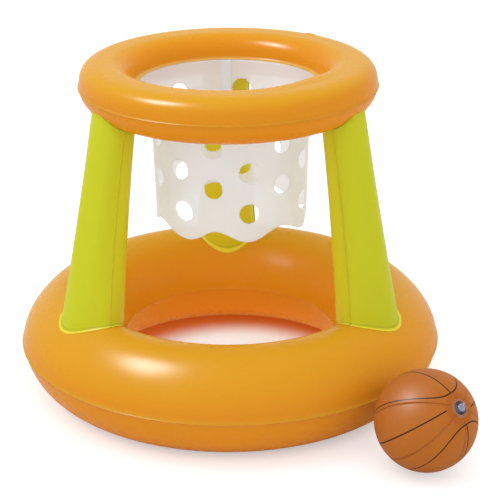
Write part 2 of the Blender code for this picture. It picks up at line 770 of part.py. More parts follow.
def ball(parent):
    """Six gores from pole to pole, a round patch over one pole and the valve's flange over the other."""
    open_angle = math.asin((VALVE_FLANGE_RADIUS - PATCH_WELD) / BALL_RADIUS)

    def spot(polar, turn):
        level = BALL_RADIUS * math.sin(polar)
        return Vector((level * math.cos(turn), level * math.sin(turn), BALL_RADIUS * math.cos(polar)))

    def outwards(middle):
        return middle.normalized()

    for gore in range(BALL_GORES):
        rows = []
        for row in range(GORE_ROWS + 1):
            polar = open_angle + (math.pi - 2 * open_angle) * row / GORE_ROWS
            margin = SEAT_GAP / 2 / (BALL_RADIUS * math.sin(polar))
            low = math.tau * gore / BALL_GORES + margin
            high = math.tau * (gore + 1) / BALL_GORES - margin
            turns = [low + (high - low) * column / GORE_COLUMNS for column in range(GORE_COLUMNS + 1)]
            rows.append([spot(polar, turn) for turn in turns])
        points, faces = grid(rows, wrap=False)
        name = "ball_gore_" + str(gore + 1)
        film_sheet(name, points, faces, outwards, "ball_film", parent, -FILM)

    def patch_rings(shares, pole):
        patch_angle = math.asin(VALVE_FLANGE_RADIUS / BALL_RADIUS)
        turns = [math.tau * step / VALVE_STEPS for step in range(VALVE_STEPS)]
        raised = 1 + SEAT_GAP / BALL_RADIUS
        return [[spot(pole + (1 - 2 * (pole > 0)) * patch_angle * share, turn) * raised
                 for turn in turns] for share in shares]

    points, faces = grid(patch_rings(PATCH_RING_SHARES + (1,), math.pi), wrap=True)
    points.append(Vector((0, 0, -BALL_RADIUS - SEAT_GAP)))
    for step in range(VALVE_STEPS):
        faces.append([len(points) - 1, (step + 1) % VALVE_STEPS, step])
    film_sheet("ball_pole_patch", points, faces, outwards, "ball_film", parent)

    hole_share = VALVE_HOLE_RADIUS / VALVE_FLANGE_RADIUS
    rings = patch_rings((hole_share, (1 + hole_share) / 2, 1), 0)
    points, faces = grid(rings, wrap=True)
    film_sheet("ball_valve_flange", points, faces, outwards, "clear_plastic", parent, VALVE_FLANGE)
    valve("ball_valve", Matrix.Translation((0, 0, BALL_RADIUS)), parent)


def ball_frame(hoop_place):
    """The ball's frame: at its middle, with Z towards its valve."""
    distance = BASE_RADIUS + BALL_GAP + BALL_RADIUS
    level = math.cos(BALL_VALVE_ELEVATION)
    towards = Vector((
        level * math.cos(BALL_VALVE_BEARING),
        level * math.sin(BALL_VALVE_BEARING),
        math.sin(BALL_VALVE_ELEVATION),
    ))
    middle = Vector((distance * math.cos(BALL_BEARING), distance * math.sin(BALL_BEARING), BALL_RADIUS))
    return seat_matrix(hoop_place + middle, towards) @ Matrix.Rotation(BALL_SPIN, 4, "Z")


def hoop_place():
    """Where the hoop's axis stands, so that the origin is under the middle of the whole box."""
    distance = BASE_RADIUS + BALL_GAP + BALL_RADIUS
    ball_x = distance * math.cos(BALL_BEARING)
    ball_y = distance * math.sin(BALL_BEARING)
    high_x = max(BASE_RADIUS, ball_x + BALL_RADIUS)
    low_x = min(-BASE_RADIUS, ball_x - BALL_RADIUS)
    high_y = max(BASE_RADIUS, ball_y + BALL_RADIUS)
    low_y = min(-BASE_RADIUS, ball_y - BALL_RADIUS)
    return Vector((-(low_x + high_x) / 2, -(low_y + high_y) / 2, 0))


def hoop(place):
    axis = empty("hoop_axis", None, Matrix.Translation(place))
    skins = {}
    for label, ring in (("base_ring", BASE), ("hoop_ring", HOOP)):
        for side, word in ((UPPER, "upper"), (LOWER, "lower")):
            name = f"{label}_{word}_skin"
            skins[name] = revolved(name, ring.skin_outline(side), ring.steps, "orange_film", axis)
    for bearing_word, bearing in POST_BEARINGS.items():
        post = Post(math.radians(bearing))
        word = bearing_word + "_post"
        post_panels(post, word, axis)
        post_disc(post, word + "_foot", BASE, UPPER, POST_FOOT_LIP, axis)
        head_disc = post_disc(post, word + "_head", HOOP, LOWER, POST_HEAD_LIP, axis)
        seat = seat_matrix(*HOOP.lay(LOWER, post.middle(post.head)))
        vent = rod(word + "_vent", seat, VENT_RADIUS, -CUT_OVERRUN, CUT_OVERRUN, axis)
        combine(head_disc, vent, "DIFFERENCE")
        combine(skins["hoop_ring_lower_skin"], vent, "DIFFERENCE")
    net(axis)
    base_skin, hoop_skin = skins["base_ring_upper_skin"], skins["hoop_ring_upper_skin"]
    ring_valve("base_valve", BASE, BASE_VALVE_BEARING, BASE_VALVE_SECTION_ANGLE, base_skin, axis)
    ring_valve("hoop_valve", HOOP, HOOP_VALVE_BEARING, HOOP_VALVE_SECTION_ANGLE, hoop_skin, axis)


def main():
    for existing in list(bpy.data.objects):
        bpy.data.objects.remove(existing)
    place = hoop_place()
    hoop(place)
    ball(empty("ball_middle", None, ball_frame(place)))


main()
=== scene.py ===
"""Looks of the floating basketball hoop.

Welded film rings and posts, a punched frosted net, a printed ball, and clear valves.
"""

import math

import bpy
import numpy as np
from mathutils import Matrix, Vector


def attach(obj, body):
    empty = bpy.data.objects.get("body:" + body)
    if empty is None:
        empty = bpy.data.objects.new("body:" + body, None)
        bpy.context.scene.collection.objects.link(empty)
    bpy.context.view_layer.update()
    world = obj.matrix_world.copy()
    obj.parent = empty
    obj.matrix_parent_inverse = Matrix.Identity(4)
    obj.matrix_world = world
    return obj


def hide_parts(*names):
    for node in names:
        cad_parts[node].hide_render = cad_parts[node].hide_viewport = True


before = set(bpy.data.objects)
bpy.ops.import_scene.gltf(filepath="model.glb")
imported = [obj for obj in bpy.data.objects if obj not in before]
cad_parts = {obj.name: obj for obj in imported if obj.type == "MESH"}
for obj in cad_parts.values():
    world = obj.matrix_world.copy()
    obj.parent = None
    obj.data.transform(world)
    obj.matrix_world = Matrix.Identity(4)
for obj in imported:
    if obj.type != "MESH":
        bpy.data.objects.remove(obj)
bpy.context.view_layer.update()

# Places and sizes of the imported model, in metres. A ring's upper skin is its side 1, and the lower one -1.
AXIS = np.array((-0.011026, 0.029949, 0.0))
FILM = 0.00025
# each skin's outer face stands this far off the plane of its weld
WELD_STAND = 0.0003
BASE = dict(
    radius=0.252, half=0.0815, crowns={1: 0.083692, -1: 0.077409}, seam=0.076809,
    fullness={1: -0.004, -1: 0.0}, inner_lip=0.0006, pucker=0.00012, pucker_length=0.02)
HOOP = dict(
    radius=0.18715, half=0.04175, crowns={1: 0.035897, -1: 0.037003}, seam=0.491603,
    fullness={1: 0.005, -1: 0.0}, inner_lip=0.0065, pucker=0.0002, pucker_length=0.012)
UPPER_LEAN = math.radians(3)
BASE_LOWER_LEAN = math.radians(10)
HOOP_LOWER_LEAN = math.radians(6)
SEAM_LIP = 0.0015
# the share of a skin's grid that each lip takes
LIP_SHARE = 0.05
POST_FOOT_Z, POST_HEAD_Z = 0.1609, 0.4542
POST_BEARINGS = {"back": 91, "left": 210, "right": 330}
POST_FOOT = dict(radius=0.24361, radial=0.0480, tangential=0.0490)
POST_HEAD = dict(radius=0.19846, radial=0.0328, tangential=0.0365)
FOOT_LIP, HEAD_LIP, SIDE_LIP = 0.0042, 0.0010, 0.0015
HEAD_TOP = 0.477
HEAD_DISC_REACH = 0.222
# a post's section, taken as one size, which turns an angle round it into a length
POST_SECTION_RADIUS = 0.045
# a foot's lip stands this far off the base ring's skin
FOOT_STAND = 0.00085
PANEL_STEPS, DISC_STEPS = 96, 96
# how far a disc's or a patch's face stands off the film under it
DISC_STAND = 0.00055
VENT_RADIUS = 0.006
PUNCH_SIDES, PUNCH_REACH = 24, 0.006
NET_TOP, NET_BODY_TOP = 0.4909, 0.4300
NET_BODY_RADIUS, NET_RIM_RADIUS, NET_FLANGE_RADIUS = 0.1247, 0.1386, 0.1412
NET_MEAN_EDGE, NET_WAVE = 0.28425, 0.00825
NET_EVEN_ROWS_TOP, NET_ODD_ROWS_TOP = 0.4504, 0.4245
NET_COLUMNS = 14
NET_LOBE_BEARING = math.radians(14)
NET_LAP_BEARING, NET_LAP = math.radians(181.1), 0.016
# what the lap takes up between its two neighbouring columns of holes
NET_LAP_TAKE = 0.010
NET_FILM = 0.00018
BALL_MIDDLE = np.array((0.270826, -0.289749, 0.0752))
BALL_RADIUS = 0.0752
BALL_AXES = np.array(((0.480930, 0.793343, 0.373246), (-0.677514, 0.066077, 0.732536),
                      (0.556490, -0.605178, 0.569280)))
BALL_GORES = 6
BALL_OPENING, BALL_PATCH = 0.010, 0.014
PATCH_STEPS = 64
VALVE_HOLE = 0.0054
# a valve's seat is its middle on the film and the way out of it
BASE_VALVE_SEAT = ((-0.218149, 0.266127, 0.121307), (-0.526367, 0.600207, 0.602237))
HOOP_VALVE_SEAT = ((0.129841, 0.194882, 0.519183), (0.427424, 0.500448, 0.752901))
BALL_VALVE_SEAT = ((0.312674, -0.335258, 0.118010), (0.556490, -0.605178, 0.569280))
TURNED_STEPS, STRIP_STEPS = 72, 32
PVC_IOR = 1.53


def linear(code):
    """An sRGB hex colour as linear red, green, blue and full alpha."""
    parts = [int(code[i:i + 2], 16) / 255 for i in (1, 3, 5)]
    return tuple(p / 12.92 if p <= 0.04045 else ((p + 0.055) / 1.055) ** 2.4 for p in parts) + (1.0,)


def grey(level):
    """A linear grey with full alpha."""
    return (level, level, level, 1)


class Tree:
    """A node tree, with a word for each node that is used often. Each word gives the node's output."""

    def __init__(self, group):
        self.group = group

    def put(self, kind, *inputs, out=0, **settings):
        """Adds a node with its settings, and its inputs in order or by name, as values or sockets."""
        node = self.group.nodes.new(kind)
        for key, value in settings.items():
            setattr(node, key, value)
        named = inputs and isinstance(inputs[0], dict)
        for key, value in inputs[0].items() if named else enumerate(inputs):
            if isinstance(value, bpy.types.NodeSocket):
                self.group.links.new(value, node.inputs[key])
            elif value is not None:
                node.inputs[key].default_value = value
        return node.outputs[out] if node.outputs else node

    def calc(self, operation, *inputs):
        return self.put("ShaderNodeMath", *inputs, operation=operation)

    def add(self, *inputs):
        return self.calc("ADD", *inputs)

    def minus(self, *inputs):
        return self.calc("SUBTRACT", *inputs)

    def times(self, *inputs):
        return self.calc("MULTIPLY", *inputs)

    def over(self, *inputs):
        return self.calc("DIVIDE", *inputs)

    def times_plus(self, *inputs):
        """The first times the second, plus the third."""
        return self.calc("MULTIPLY_ADD", *inputs)

    def vector(self, operation, *inputs):
        """Maths on vectors, which gives a vector or, for these three, a number."""
        out = "Value" if operation in ("DOT_PRODUCT", "LENGTH", "DISTANCE") else 0
        return self.put("ShaderNodeVectorMath", *inputs, out=out, operation=operation)

    def scale(self, vector, factor):
        return self.put("ShaderNodeVectorMath", {0: vector, "Scale": factor}, operation="SCALE")

    def triple(self, *inputs):
        return self.put("ShaderNodeCombineXYZ", *inputs)

    def remap(self, value, low=0.0, high=1.0, to_low=0.0, to_high=1.0, smooth="LINEAR"):
        """The value from one range to another, held at its ends."""
        ends = {"From Min": low, "From Max": high, "To Min": to_low, "To Max": to_high}
        return self.put("ShaderNodeMapRange", {"Value": value, **ends}, interpolation_type=smooth)

    def step(self, value, low, high, to_low=0.0, to_high=1.0):
        """The same, with soft ends."""
        return self.remap(value, low, high, to_low, to_high, "SMOOTHSTEP")

    def blend(self, share, first, second):
        """A colour between two, each a hex colour, a linear one or a socket."""
        first, second = (linear(c) if isinstance(c, str) else c for c in (first, second))
        return self.put("ShaderNodeMix", {0: share, 6: first, 7: second}, data_type="RGBA", out=2)

    def noise(self, place, size, detail):
        """Clouds of about this size."""
        inputs = {"Vector": place, "Scale": 1 / size, "Detail": detail}
        return self.put("ShaderNodeTexNoise", inputs, out="Fac")

    def mark(self, name):
        """What a piece says of itself at each point."""
        return self.put("ShaderNodeAttribute", attribute_name=name, out="Fac")

    def bump(self, height, strength, distance):
        inputs = {"Strength": strength, "Distance": distance, "Height": height}
        return self.put("ShaderNodeBump", inputs, out="Normal")

    def pvc(self, tone, roughness, specular, relief=None):
        """The shader of a PVC surface."""
        return self.put("ShaderNodeBsdfPrincipled", {
            "Base Color": tone, "Roughness": roughness, "Normal": relief, "IOR": PVC_IOR,
            "Specular IOR Level": specular})

    def mix_shader(self, share, first, second):
        return self.put("ShaderNodeMixShader", share, first, second)

    def clear(self):
        """What is behind, unchanged."""
        return self.put("ShaderNodeBsdfTransparent", {"Color": (1, 1, 1, 1)})

    def surface(self, shader):
        self.put("ShaderNodeOutputMaterial", {"Surface": shader})

    def finish(self, mesh, film):
        """Smooth faces, real geometry and the film's material, as the tree's result."""
        mesh = self.put("GeometryNodeSetShadeSmooth", {"Geometry": mesh})
        mesh = self.put("GeometryNodeRealizeInstances", {"Geometry": mesh})
        mesh = self.put("GeometryNodeSetMaterial", {"Geometry": mesh, "Material": film})
        self.put("NodeGroupOutput", {"Geometry": mesh})


def add_object(name, data):
    """An object of this name in the scene."""
    made = bpy.data.objects.new(name, data)
    bpy.context.scene.collection.objects.link(made)
    return made


def thicken(piece, thickness, outwards=-1):
    """The film's real gauge, behind or in front of its modelled face."""
    shell = piece.modifiers.new("film gauge", "SOLIDIFY")
    shell.thickness, shell.offset, shell.use_even_offset = thickness, outwards, False


def solid(name, points, faces, material, marks, uv=None, thickness=FILM):
    """A smooth piece: its outer face, its thickness, and what its material reads, with uv in metres."""
    mesh = bpy.data.meshes.new(name)
    mesh.from_pydata([tuple(p) for p in points], [], [tuple(f) for f in faces])
    if uv is not None:
        layer = mesh.uv_layers.new(name="UVMap")
        layer.data.foreach_set("uv", np.asarray(uv, dtype=float).ravel())
    for key, values in marks.items():
        mark = mesh.attributes.new(key, "FLOAT", "POINT")
        mark.data.foreach_set("value", np.asarray(values, dtype=float).ravel())
    mesh.materials.append(material)
    mesh.shade_smooth()
    piece = add_object(name, mesh)
    if thickness:
        thicken(piece, thickness)
    return piece


def lattice(rows, columns, wrap=False):
    """Quads of a grid of points kept row by row."""
    return [(r * columns + c, r * columns + (c + 1) % columns,
             (r + 1) * columns + (c + 1) % columns, (r + 1) * columns + c)
            for r in range(rows - 1) for c in range(columns if wrap else columns - 1)]


def lattice_uv(us, vs):
    """The corners' places on the film for a lattice that doesn't wrap, in metres."""
    rows, columns = us.shape
    return [(us[i, j], vs[i, j]) for r in range(rows - 1) for c in range(columns - 1)
            for i, j in ((r, c), (r, c + 1), (r + 1, c + 1), (r + 1, c))]


def new_tree(name, **inputs):
    """A geometry node tree with named inputs, and what each input gives inside it."""
    group = bpy.data.node_groups.new(name, "GeometryNodeTree")
    kinds = {int: "NodeSocketInt", float: "NodeSocketFloat", tuple: "NodeSocketVector"}
    for label, value in inputs.items():
        kind = kinds.get(type(value), "NodeSocketMaterial")
        socket = group.interface.new_socket(label, in_out="INPUT", socket_type=kind)
        if kind != "NodeSocketMaterial":
            socket.default_value = value
    group.interface.new_socket("Geometry", in_out="OUTPUT", socket_type="NodeSocketGeometry")
    start = group.nodes.new("NodeGroupInput")
    return Tree(group), {label: start.outputs[label] for label in inputs}


def finished_mesh(holder, name):
    """The mesh that an object's modifiers make."""
    ready = holder.evaluated_get(bpy.context.evaluated_depsgraph_get())
    mesh = bpy.data.meshes.new_from_object(ready)
    mesh.name = name
    return mesh


def grow(tree, name, **values):
    """Runs a tree with these inputs and keeps the result as a plain mesh piece."""
    holder = add_object(name + "_grown", bpy.data.meshes.new(name + "_grown"))
    modifier = holder.modifiers.new("grown", "NODES")
    modifier.node_group = tree.group
    for item in tree.group.interface.items_tree:
        if item.in_out == "INPUT" and item.name in values:
            modifier[item.identifier] = values[item.name]
    mesh = finished_mesh(holder, name)
    bpy.data.objects.remove(holder)
    return add_object(name, mesh)


def punch(piece, centre, axis, radius):
    """A round hole through a film piece."""
    turns = np.linspace(0, math.tau, PUNCH_SIDES, endpoint=False)
    points = [(radius * math.cos(t), radius * math.sin(t), z)
              for z in (-PUNCH_REACH, PUNCH_REACH) for t in turns]
    ends = [tuple(range(PUNCH_SIDES - 1, -1, -1)), tuple(range(PUNCH_SIDES, 2 * PUNCH_SIDES))]
    mesh = bpy.data.meshes.new("punch")
    mesh.from_pydata(points, [], ends + lattice(2, PUNCH_SIDES, wrap=True))
    tool = add_object("punch", mesh)
    turn = Vector(axis).to_track_quat("Z", "Y").to_matrix().to_4x4()
    tool.matrix_world = Matrix.Translation(centre) @ turn
    cut = piece.modifiers.new("punch", "BOOLEAN")
    cut.object, cut.operation, cut.solver = tool, "DIFFERENCE", "EXACT"
    mesh = finished_mesh(piece, piece.name)
    piece.modifiers.clear()
    piece.data = mesh
    bpy.data.objects.remove(tool)


def new_material(name):
    """An empty node material, its tree, and the place that its textures read."""
    material = bpy.data.materials.new(name)
    material.use_nodes = True
    material.node_tree.nodes.clear()
    tree = Tree(material.node_tree)
    return material, tree, tree.put("ShaderNodeTexCoord", out="Object")


def film(name, top, side, deep, within, lip, roughness, grain, mottle):
    """Calendered PVC film, blown up tight. The rolls leave a faint orange-peel and a soft gloss.

    Light and shade are painted into its colour, for the light that the plasticised film lets through: what
    faces the lamp is painted yellower, what faces the floor deeper, and the weld's lip, with air on both
    sides, brightest.
    """
    material, tree, place = new_material(name)
    # painted light and shade: what faces the lamp is painted the light tone, and what faces away from it the
    # deep one
    normal = tree.put("ShaderNodeNewGeometry", out="Normal")
    lit = tree.vector("DOT_PRODUCT", normal, (-0.22, 0.0, 0.975))
    tone = tree.blend(tree.step(lit, -0.9, 0.15), deep, side)
    tone = tree.blend(tree.step(lit, 0.1, 1.0), tone, top)
    # painted light: film that faces the middle of the hoop is painted a fuller colour, for the light let
    # through it from behind
    tone = tree.blend(tree.mark("inside"), tone, within)
    # pigment clouds 60 mm across
    tone = tree.scale(tone, tree.remap(tree.noise(place, 0.06, 3.0), 0.0, 1.0, 1 - mottle, 1 + mottle))
    # painted light: the weld's lip is painted in its own bright tone
    tone = tree.blend(tree.mark("weld"), tone, lip)
    # painted shade where film turns into a weld
    tone = tree.scale(tone, tree.remap(tree.mark("crease_shade"), 0.0, 1.0, 1.0, 0.78))
    # gloss varies in patches of 15 mm, as a handled film does
    patch = tree.noise(place, 0.015, 2.0)
    gloss = tree.remap(patch, 0.0, 1.0, roughness - 0.035, roughness + 0.035)
    # orange-peel of the rolls: real waves are near 1 mm and too fine to show, so they are drawn 7 mm long
    relief = tree.bump(tree.noise(place, 0.007, 1.0), grain, 0.0002)
    tree.surface(tree.pvc(tone, gloss, 0.05, relief))
    return material


def frosted():
    """Frosted PVC film, embossed matt by a blasted roll.

    It is milky, lets a view through, and lights up from behind.
    """
    material, tree, place = new_material("embossed frosted PVC film")
    tone = tree.blend(tree.noise(place, 0.05, 3.0), "#f5fafe", "#fafdff")
    # the frost's grain is 0.2 mm and too fine to show, so it is drawn 1.5 mm wide
    relief = tree.bump(tree.noise(place, 0.0015, 1.0), 0.15, 0.0001)
    front = tree.pvc(tone, 0.55, 0.3, relief)
    behind = tree.put("ShaderNodeBsdfTranslucent", {"Color": tone, "Normal": relief})
    milky = tree.mix_shader(0.5, front, behind)
    tree.surface(tree.mix_shader(0.26, milky, tree.clear()))
    return material


def clear_pvc():
    """Injection-moulded clear soft PVC: glassy where it is thick, with a faint cool cast."""
    material, tree, place = new_material("injection-moulded clear soft PVC")
    gloss = tree.remap(tree.noise(place, 0.002, 1.0), 0.0, 1.0, 0.12, 0.22)
    # thin parts are nearly unseen, and thick ones look cool and milky
    through = tree.remap(tree.mark("thick"), 0.0, 1.0, 0.93, 0.62)
    tree.surface(tree.mix_shader(through, tree.pvc(linear("#b4b2c6"), gloss, 0.8), tree.clear()))
    return material


def printed_film():
    """Printed PVC film: a brown-orange ground and dark brown lines in gravure ink, under a soft gloss.

    The lines lie on the ball as a ball's do: two great circles that cross at the valve, and an oval on
    either side.
    """
    material, tree, place = new_material("gravure-printed PVC film")
    unit = tree.vector("NORMALIZE", tree.vector("SUBTRACT", place, tuple(BALL_MIDDLE)))
    # the print's three ways: towards an oval's middle, along its other great circle, and towards the valve
    x, y, z = BALL_AXES
    turn = math.radians(68)
    across = math.cos(turn) * x + math.sin(turn) * y
    ways = (across, np.cross(z, across), z)
    to_oval, to_side, to_valve = (tree.vector("DOT_PRODUCT", unit, tuple(way)) for way in ways)
    off_oval, off_side, off_valve = (tree.calc("ABSOLUTE", way) for way in (to_oval, to_side, to_valve))
    # the oval's shape is a rounded square in the two angles round its middle
    sides = ((off_valve, 2.9), (off_side, 1.09))
    powers = [tree.calc("POWER", tree.over(value, size), 2.5) for value, size in sides]
    oval = tree.calc("POWER", tree.add(*powers), 0.4)
    oval = tree.over(tree.calc("ABSOLUTE", tree.minus(oval, off_oval)), 1.2)
    # the gores stretch unevenly, and so the line between the ovals stands askew at the valve and comes
    # back on the far side
    askew = tree.times(tree.remap(to_side, -0.3, 0.3, -1.0, 1.0), tree.times_plus(to_valve, 0.045, 0.045))
    between = tree.calc("ABSOLUTE", tree.minus(to_oval, askew))
    nearest = tree.calc("MINIMUM", tree.calc("MINIMUM", between, off_side), oval)
    # printed lines about 2 mm wide with an edge that bleeds 0.4 mm
    line = tree.remap(nearest, 0.00085 / BALL_RADIUS, 0.00125 / BALL_RADIUS, 1.0, 0.0)
    # a plain disc 24 mm in radius round each pole carries no lines
    bare_from, bare_to = math.cos(math.radians(18.8)), math.cos(math.radians(18.2))
    bare = tree.remap(off_valve, bare_from, bare_to, 1.0, 0.0)
    line = tree.times(line, bare)
    # ink clouds 20 mm across
    ground = tree.blend(tree.noise(place, 0.02, 3.0), "#af601b", "#b96d25")
    ground = tree.blend(bare, "#ab5b17", ground)
    ground = tree.blend(tree.mark("weld"), ground, "#a85a1b")
    tone = tree.blend(line, ground, "#3c1c05")
    # a pebbled print: 2.5 mm dots, barely raised
    dots = tree.put("ShaderNodeTexVoronoi", {"Vector": place, "Scale": 1 / 0.0025}, out="Distance")
    relief = tree.bump(tree.add(dots, line), 0.25, 0.0001)
    tree.surface(tree.pvc(tone, 0.5, 0.11, relief))
    return material


# each film's tones: facing the lamp, sideways, facing away, within the hoop, and the lip's; their differences
# are painted light and shade
orange = film(
    "calendered orange PVC film", "#d99d22", "#da8c1f", "#e58e22", "#e1901d", "#e2b258", 0.27, 0.015, 0.015)
green = film(
    "calendered lime PVC film", "#c7cb27", "#c3c527", "#bbb927", "#dcd12b", "#e8d635", 0.36, 0.03, 0.015)
frosted_film = frosted()
clear_valve = clear_pvc()
ball_film = printed_film()


def ring_tree():
    """One skin of a ring, swept round: a lip, half a section, and a lip.

    It has puckers at its welds and a flat for a valve.
    """
    tree, given = new_tree(
        "Welded ring skin", StepsRound=576, StepsAcross=40, Radius=0.25, Half=0.08, Crown=0.07, Fullness=0.0,
        Slack=0.0, Plump=0.0, PlumpAt=5.6, PlumpWidth=0.42, Seam=0.07, Lean=0.05, Side=1.0, Lip=0.0015,
        InnerLip=0.0015, InnerWeld=1.0, Floor=-1.0, Pucker=0.0003, PuckerLength=0.014,
        Seat=(0.0, 0.0, -1.0), FlatEnd=0.028, SeatNormal=(0.0, 0.0, 1.0), Axis=(0.0, 0.0, 0.0), Film=None)
    grid = tree.put("GeometryNodeMeshGrid", 1.0, 1.0, given["StepsRound"], given["StepsAcross"])
    flat = tree.put("ShaderNodeSeparateXYZ", tree.put("GeometryNodeInputPosition")).node
    bearing = tree.times(tree.add(flat.outputs[0], 0.5), math.tau)
    share = tree.add(flat.outputs[1], 0.5)
    outer = tree.remap(share, 0.0, LIP_SHARE, 1.0, 0.0)
    inner = tree.remap(share, 1 - LIP_SHARE, 1.0)
    part = tree.remap(share, LIP_SHARE, 1 - LIP_SHARE)
    lean = given["Lean"]
    turn = tree.times_plus(part, tree.times_plus(lean, -2.0, math.pi), lean)
    sine, cosine = tree.calc("SINE", turn), tree.calc("COSINE", turn)
    low, level = tree.calc("SINE", lean), tree.calc("COSINE", lean)
    across = tree.times(tree.over(cosine, level), given["Half"])
    across = tree.times_plus(outer, given["Lip"], across)
    across = tree.times_plus(tree.times(inner, -1.0), given["InnerLip"], across)
    rise = tree.over(tree.minus(sine, low), tree.minus(1.0, low))
    rise = tree.times(rise, given["Crown"])
    # the shoulders, half way between seam and crown, stand out or draw in
    angle = tree.times(part, math.pi)
    shoulder = tree.calc("SINE", tree.times(angle, 2.0))
    # the inner shoulder is slack to the left and right, as the photograph shows on the hoop ring
    round_x, round_y = tree.calc("COSINE", bearing), tree.calc("SINE", bearing)
    slack = tree.times(tree.times(round_x, round_x), given["Slack"])
    full = tree.minus(given["Fullness"], tree.times(tree.step(share, 0.5, 0.65), slack))
    # and it is a little plumper over one stretch at the front right
    off = tree.over(tree.minus(bearing, given["PlumpAt"]), given["PlumpWidth"])
    peak = tree.calc("EXPONENT", tree.times(tree.times(off, off), -1.0))
    peak = tree.times(peak, tree.step(share, 0.4, 0.6))
    full = tree.times_plus(peak, given["Plump"], full)
    swell = tree.times(tree.times(shoulder, shoulder), full)
    across = tree.times_plus(swell, tree.calc("COSINE", angle), across)
    rise = tree.times_plus(swell, tree.calc("SINE", angle), rise)
    # puckers die out 25 mm from a weld
    shell = tree.remap(rise, 0.0, 0.025, 1.0, 0.0, "SMOOTHERSTEP")
    waves = tree.over(given["Radius"], given["PuckerLength"])
    circle = tree.scale(tree.triple(round_x, round_y, given["Side"]), waves)
    ripple = tree.times(tree.times(tree.add(tree.noise(circle, 1.0, 1.5), -0.5), shell), given["Pucker"])
    ripple = tree.times(ripple, tree.times(cosine, 3.0))
    reach = tree.add(tree.add(across, given["Radius"]), ripple)
    up = tree.times_plus(tree.add(rise, WELD_STAND), given["Side"], given["Seam"])
    up = tree.calc("MAXIMUM", up, given["Floor"])
    spot = tree.triple(tree.times(reach, round_x), tree.times(reach, round_y), up)
    spot = tree.vector("ADD", spot, given["Axis"])
    # flat for a valve: the skin lies in the seat's plane out to 14.5 mm, and then finds its own curve again
    away = tree.vector("SUBTRACT", spot, given["Seat"])
    height = tree.vector("DOT_PRODUCT", away, given["SeatNormal"])
    lift = tree.scale(given["SeatNormal"], height)
    apart = tree.vector("LENGTH", tree.vector("SUBTRACT", away, lift))
    near = tree.step(apart, 0.0145, given["FlatEnd"], 1.0, 0.0)
    close = tree.calc("LESS_THAN", tree.calc("ABSOLUTE", height), 0.02)
    pull = tree.times(tree.times(near, close), -1.0)
    spot = tree.vector("ADD", spot, tree.scale(lift, pull))
    # what the material reads, kept before the sheet is bent
    # painted light and shade: the lip at a weld is painted bright, and shade is painted in the crease beside
    # it
    weld = tree.remap(rise, 0.0, 0.0012, 1.0, 0.0)
    crease_shade = tree.times(tree.remap(rise, 0.0012, 0.004, 1.0, 0.0), tree.minus(1.0, weld))
    weld = tree.times(weld, tree.remap(share, 0.4, 0.6, 0.1, given["InnerWeld"]))
    # the inner welds are pulled tight and show hardly any shade
    crease_shade = tree.times(crease_shade, tree.remap(share, 0.4, 0.6, 0.8, 0.12))
    # painted light: the skin's inner half takes the fuller tone of film lit through from behind
    within = tree.step(share, 0.55, 0.8)
    around = tree.times(bearing, given["Radius"])
    place = tree.triple(around, tree.times(tree.times(share, given["Half"]), math.pi))
    mesh = tree.put("GeometryNodeStoreNamedAttribute", {"Geometry": grid, "Name": "UVMap", "Value": place},
                    data_type="FLOAT2", domain="CORNER")
    for label, value in (("weld", weld), ("crease_shade", crease_shade), ("inside", within)):
        mesh = tree.put("GeometryNodeStoreNamedAttribute", {"Geometry": mesh, "Name": label, "Value": value},
                        data_type="FLOAT", domain="POINT")
    mesh = tree.put("GeometryNodeSetPosition", {"Geometry": mesh, "Position": spot})
    mesh = tree.put("GeometryNodeMergeByDistance", {"Geometry": mesh, "Distance": 0.00001})
    under = tree.calc("LESS_THAN", given["Side"], 0.0)
    tree.finish(tree.put("GeometryNodeFlipFaces", {"Mesh": mesh, "Selection": under}), given["Film"])
    return tree


skin_tree = ring_tree()


def ring_skin(label, ring, side, lean, floor=-1.0, seat=None, flat_end=0.03, holes=(), slack=0.0, plump=0.0):
    """One skin of a ring as a piece on the hoop's body."""
    values = dict(
        Radius=ring["radius"], Half=ring["half"], Crown=ring["crowns"][side], Fullness=ring["fullness"][side],
        Slack=slack, Plump=plump, Seam=ring["seam"], Lean=lean, Side=float(side), Lip=SEAM_LIP,
        InnerLip=ring["inner_lip"], InnerWeld=1.0 if ring["inner_lip"] > SEAM_LIP else 0.0, Floor=floor,
        FlatEnd=flat_end, Pucker=ring["pucker"], PuckerLength=ring["pucker_length"], Axis=tuple(AXIS),
        Film=orange)
    if seat:
        values.update(Seat=seat[0], SeatNormal=seat[1])
    piece = grow(skin_tree, f"{label}_film", **values)
    thicken(piece, FILM)
    for centre, axis, radius in holes:
        punch(piece, centre, axis, radius)
    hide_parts(f"{label}_skin")
    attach(piece, "hoop")


def post_spot(bearing, radial, tangential=0.0, z=0.0):
    """A point by a post's own directions: away from the hoop's axis, across, and up."""
    turn = math.radians(bearing)
    outwards = np.array((math.cos(turn), math.sin(turn), 0))
    across = np.array((-math.sin(turn), math.cos(turn), 0))
    return AXIS + radial * outwards + tangential * across + np.array((0, 0, z))


vents = [(tuple(post_spot(bearing, POST_HEAD["radius"], 0, POST_HEAD_Z)), (0, 0, 1), VENT_RADIUS)
         for bearing in POST_BEARINGS.values()]
ring_skin("base_ring_upper", BASE, 1, UPPER_LEAN, seat=BASE_VALVE_SEAT,
          holes=[(*BASE_VALVE_SEAT, VALVE_HOLE)])
ring_skin("base_ring_lower", BASE, -1, BASE_LOWER_LEAN, floor=0.0)
ring_skin("hoop_ring_upper", HOOP, 1, UPPER_LEAN, seat=HOOP_VALVE_SEAT, flat_end=0.020,
          holes=[(*HOOP_VALVE_SEAT, VALVE_HOLE)], slack=0.004, plump=0.006)
ring_skin("hoop_ring_lower", HOOP, -1, HOOP_LOWER_LEAN, holes=vents)


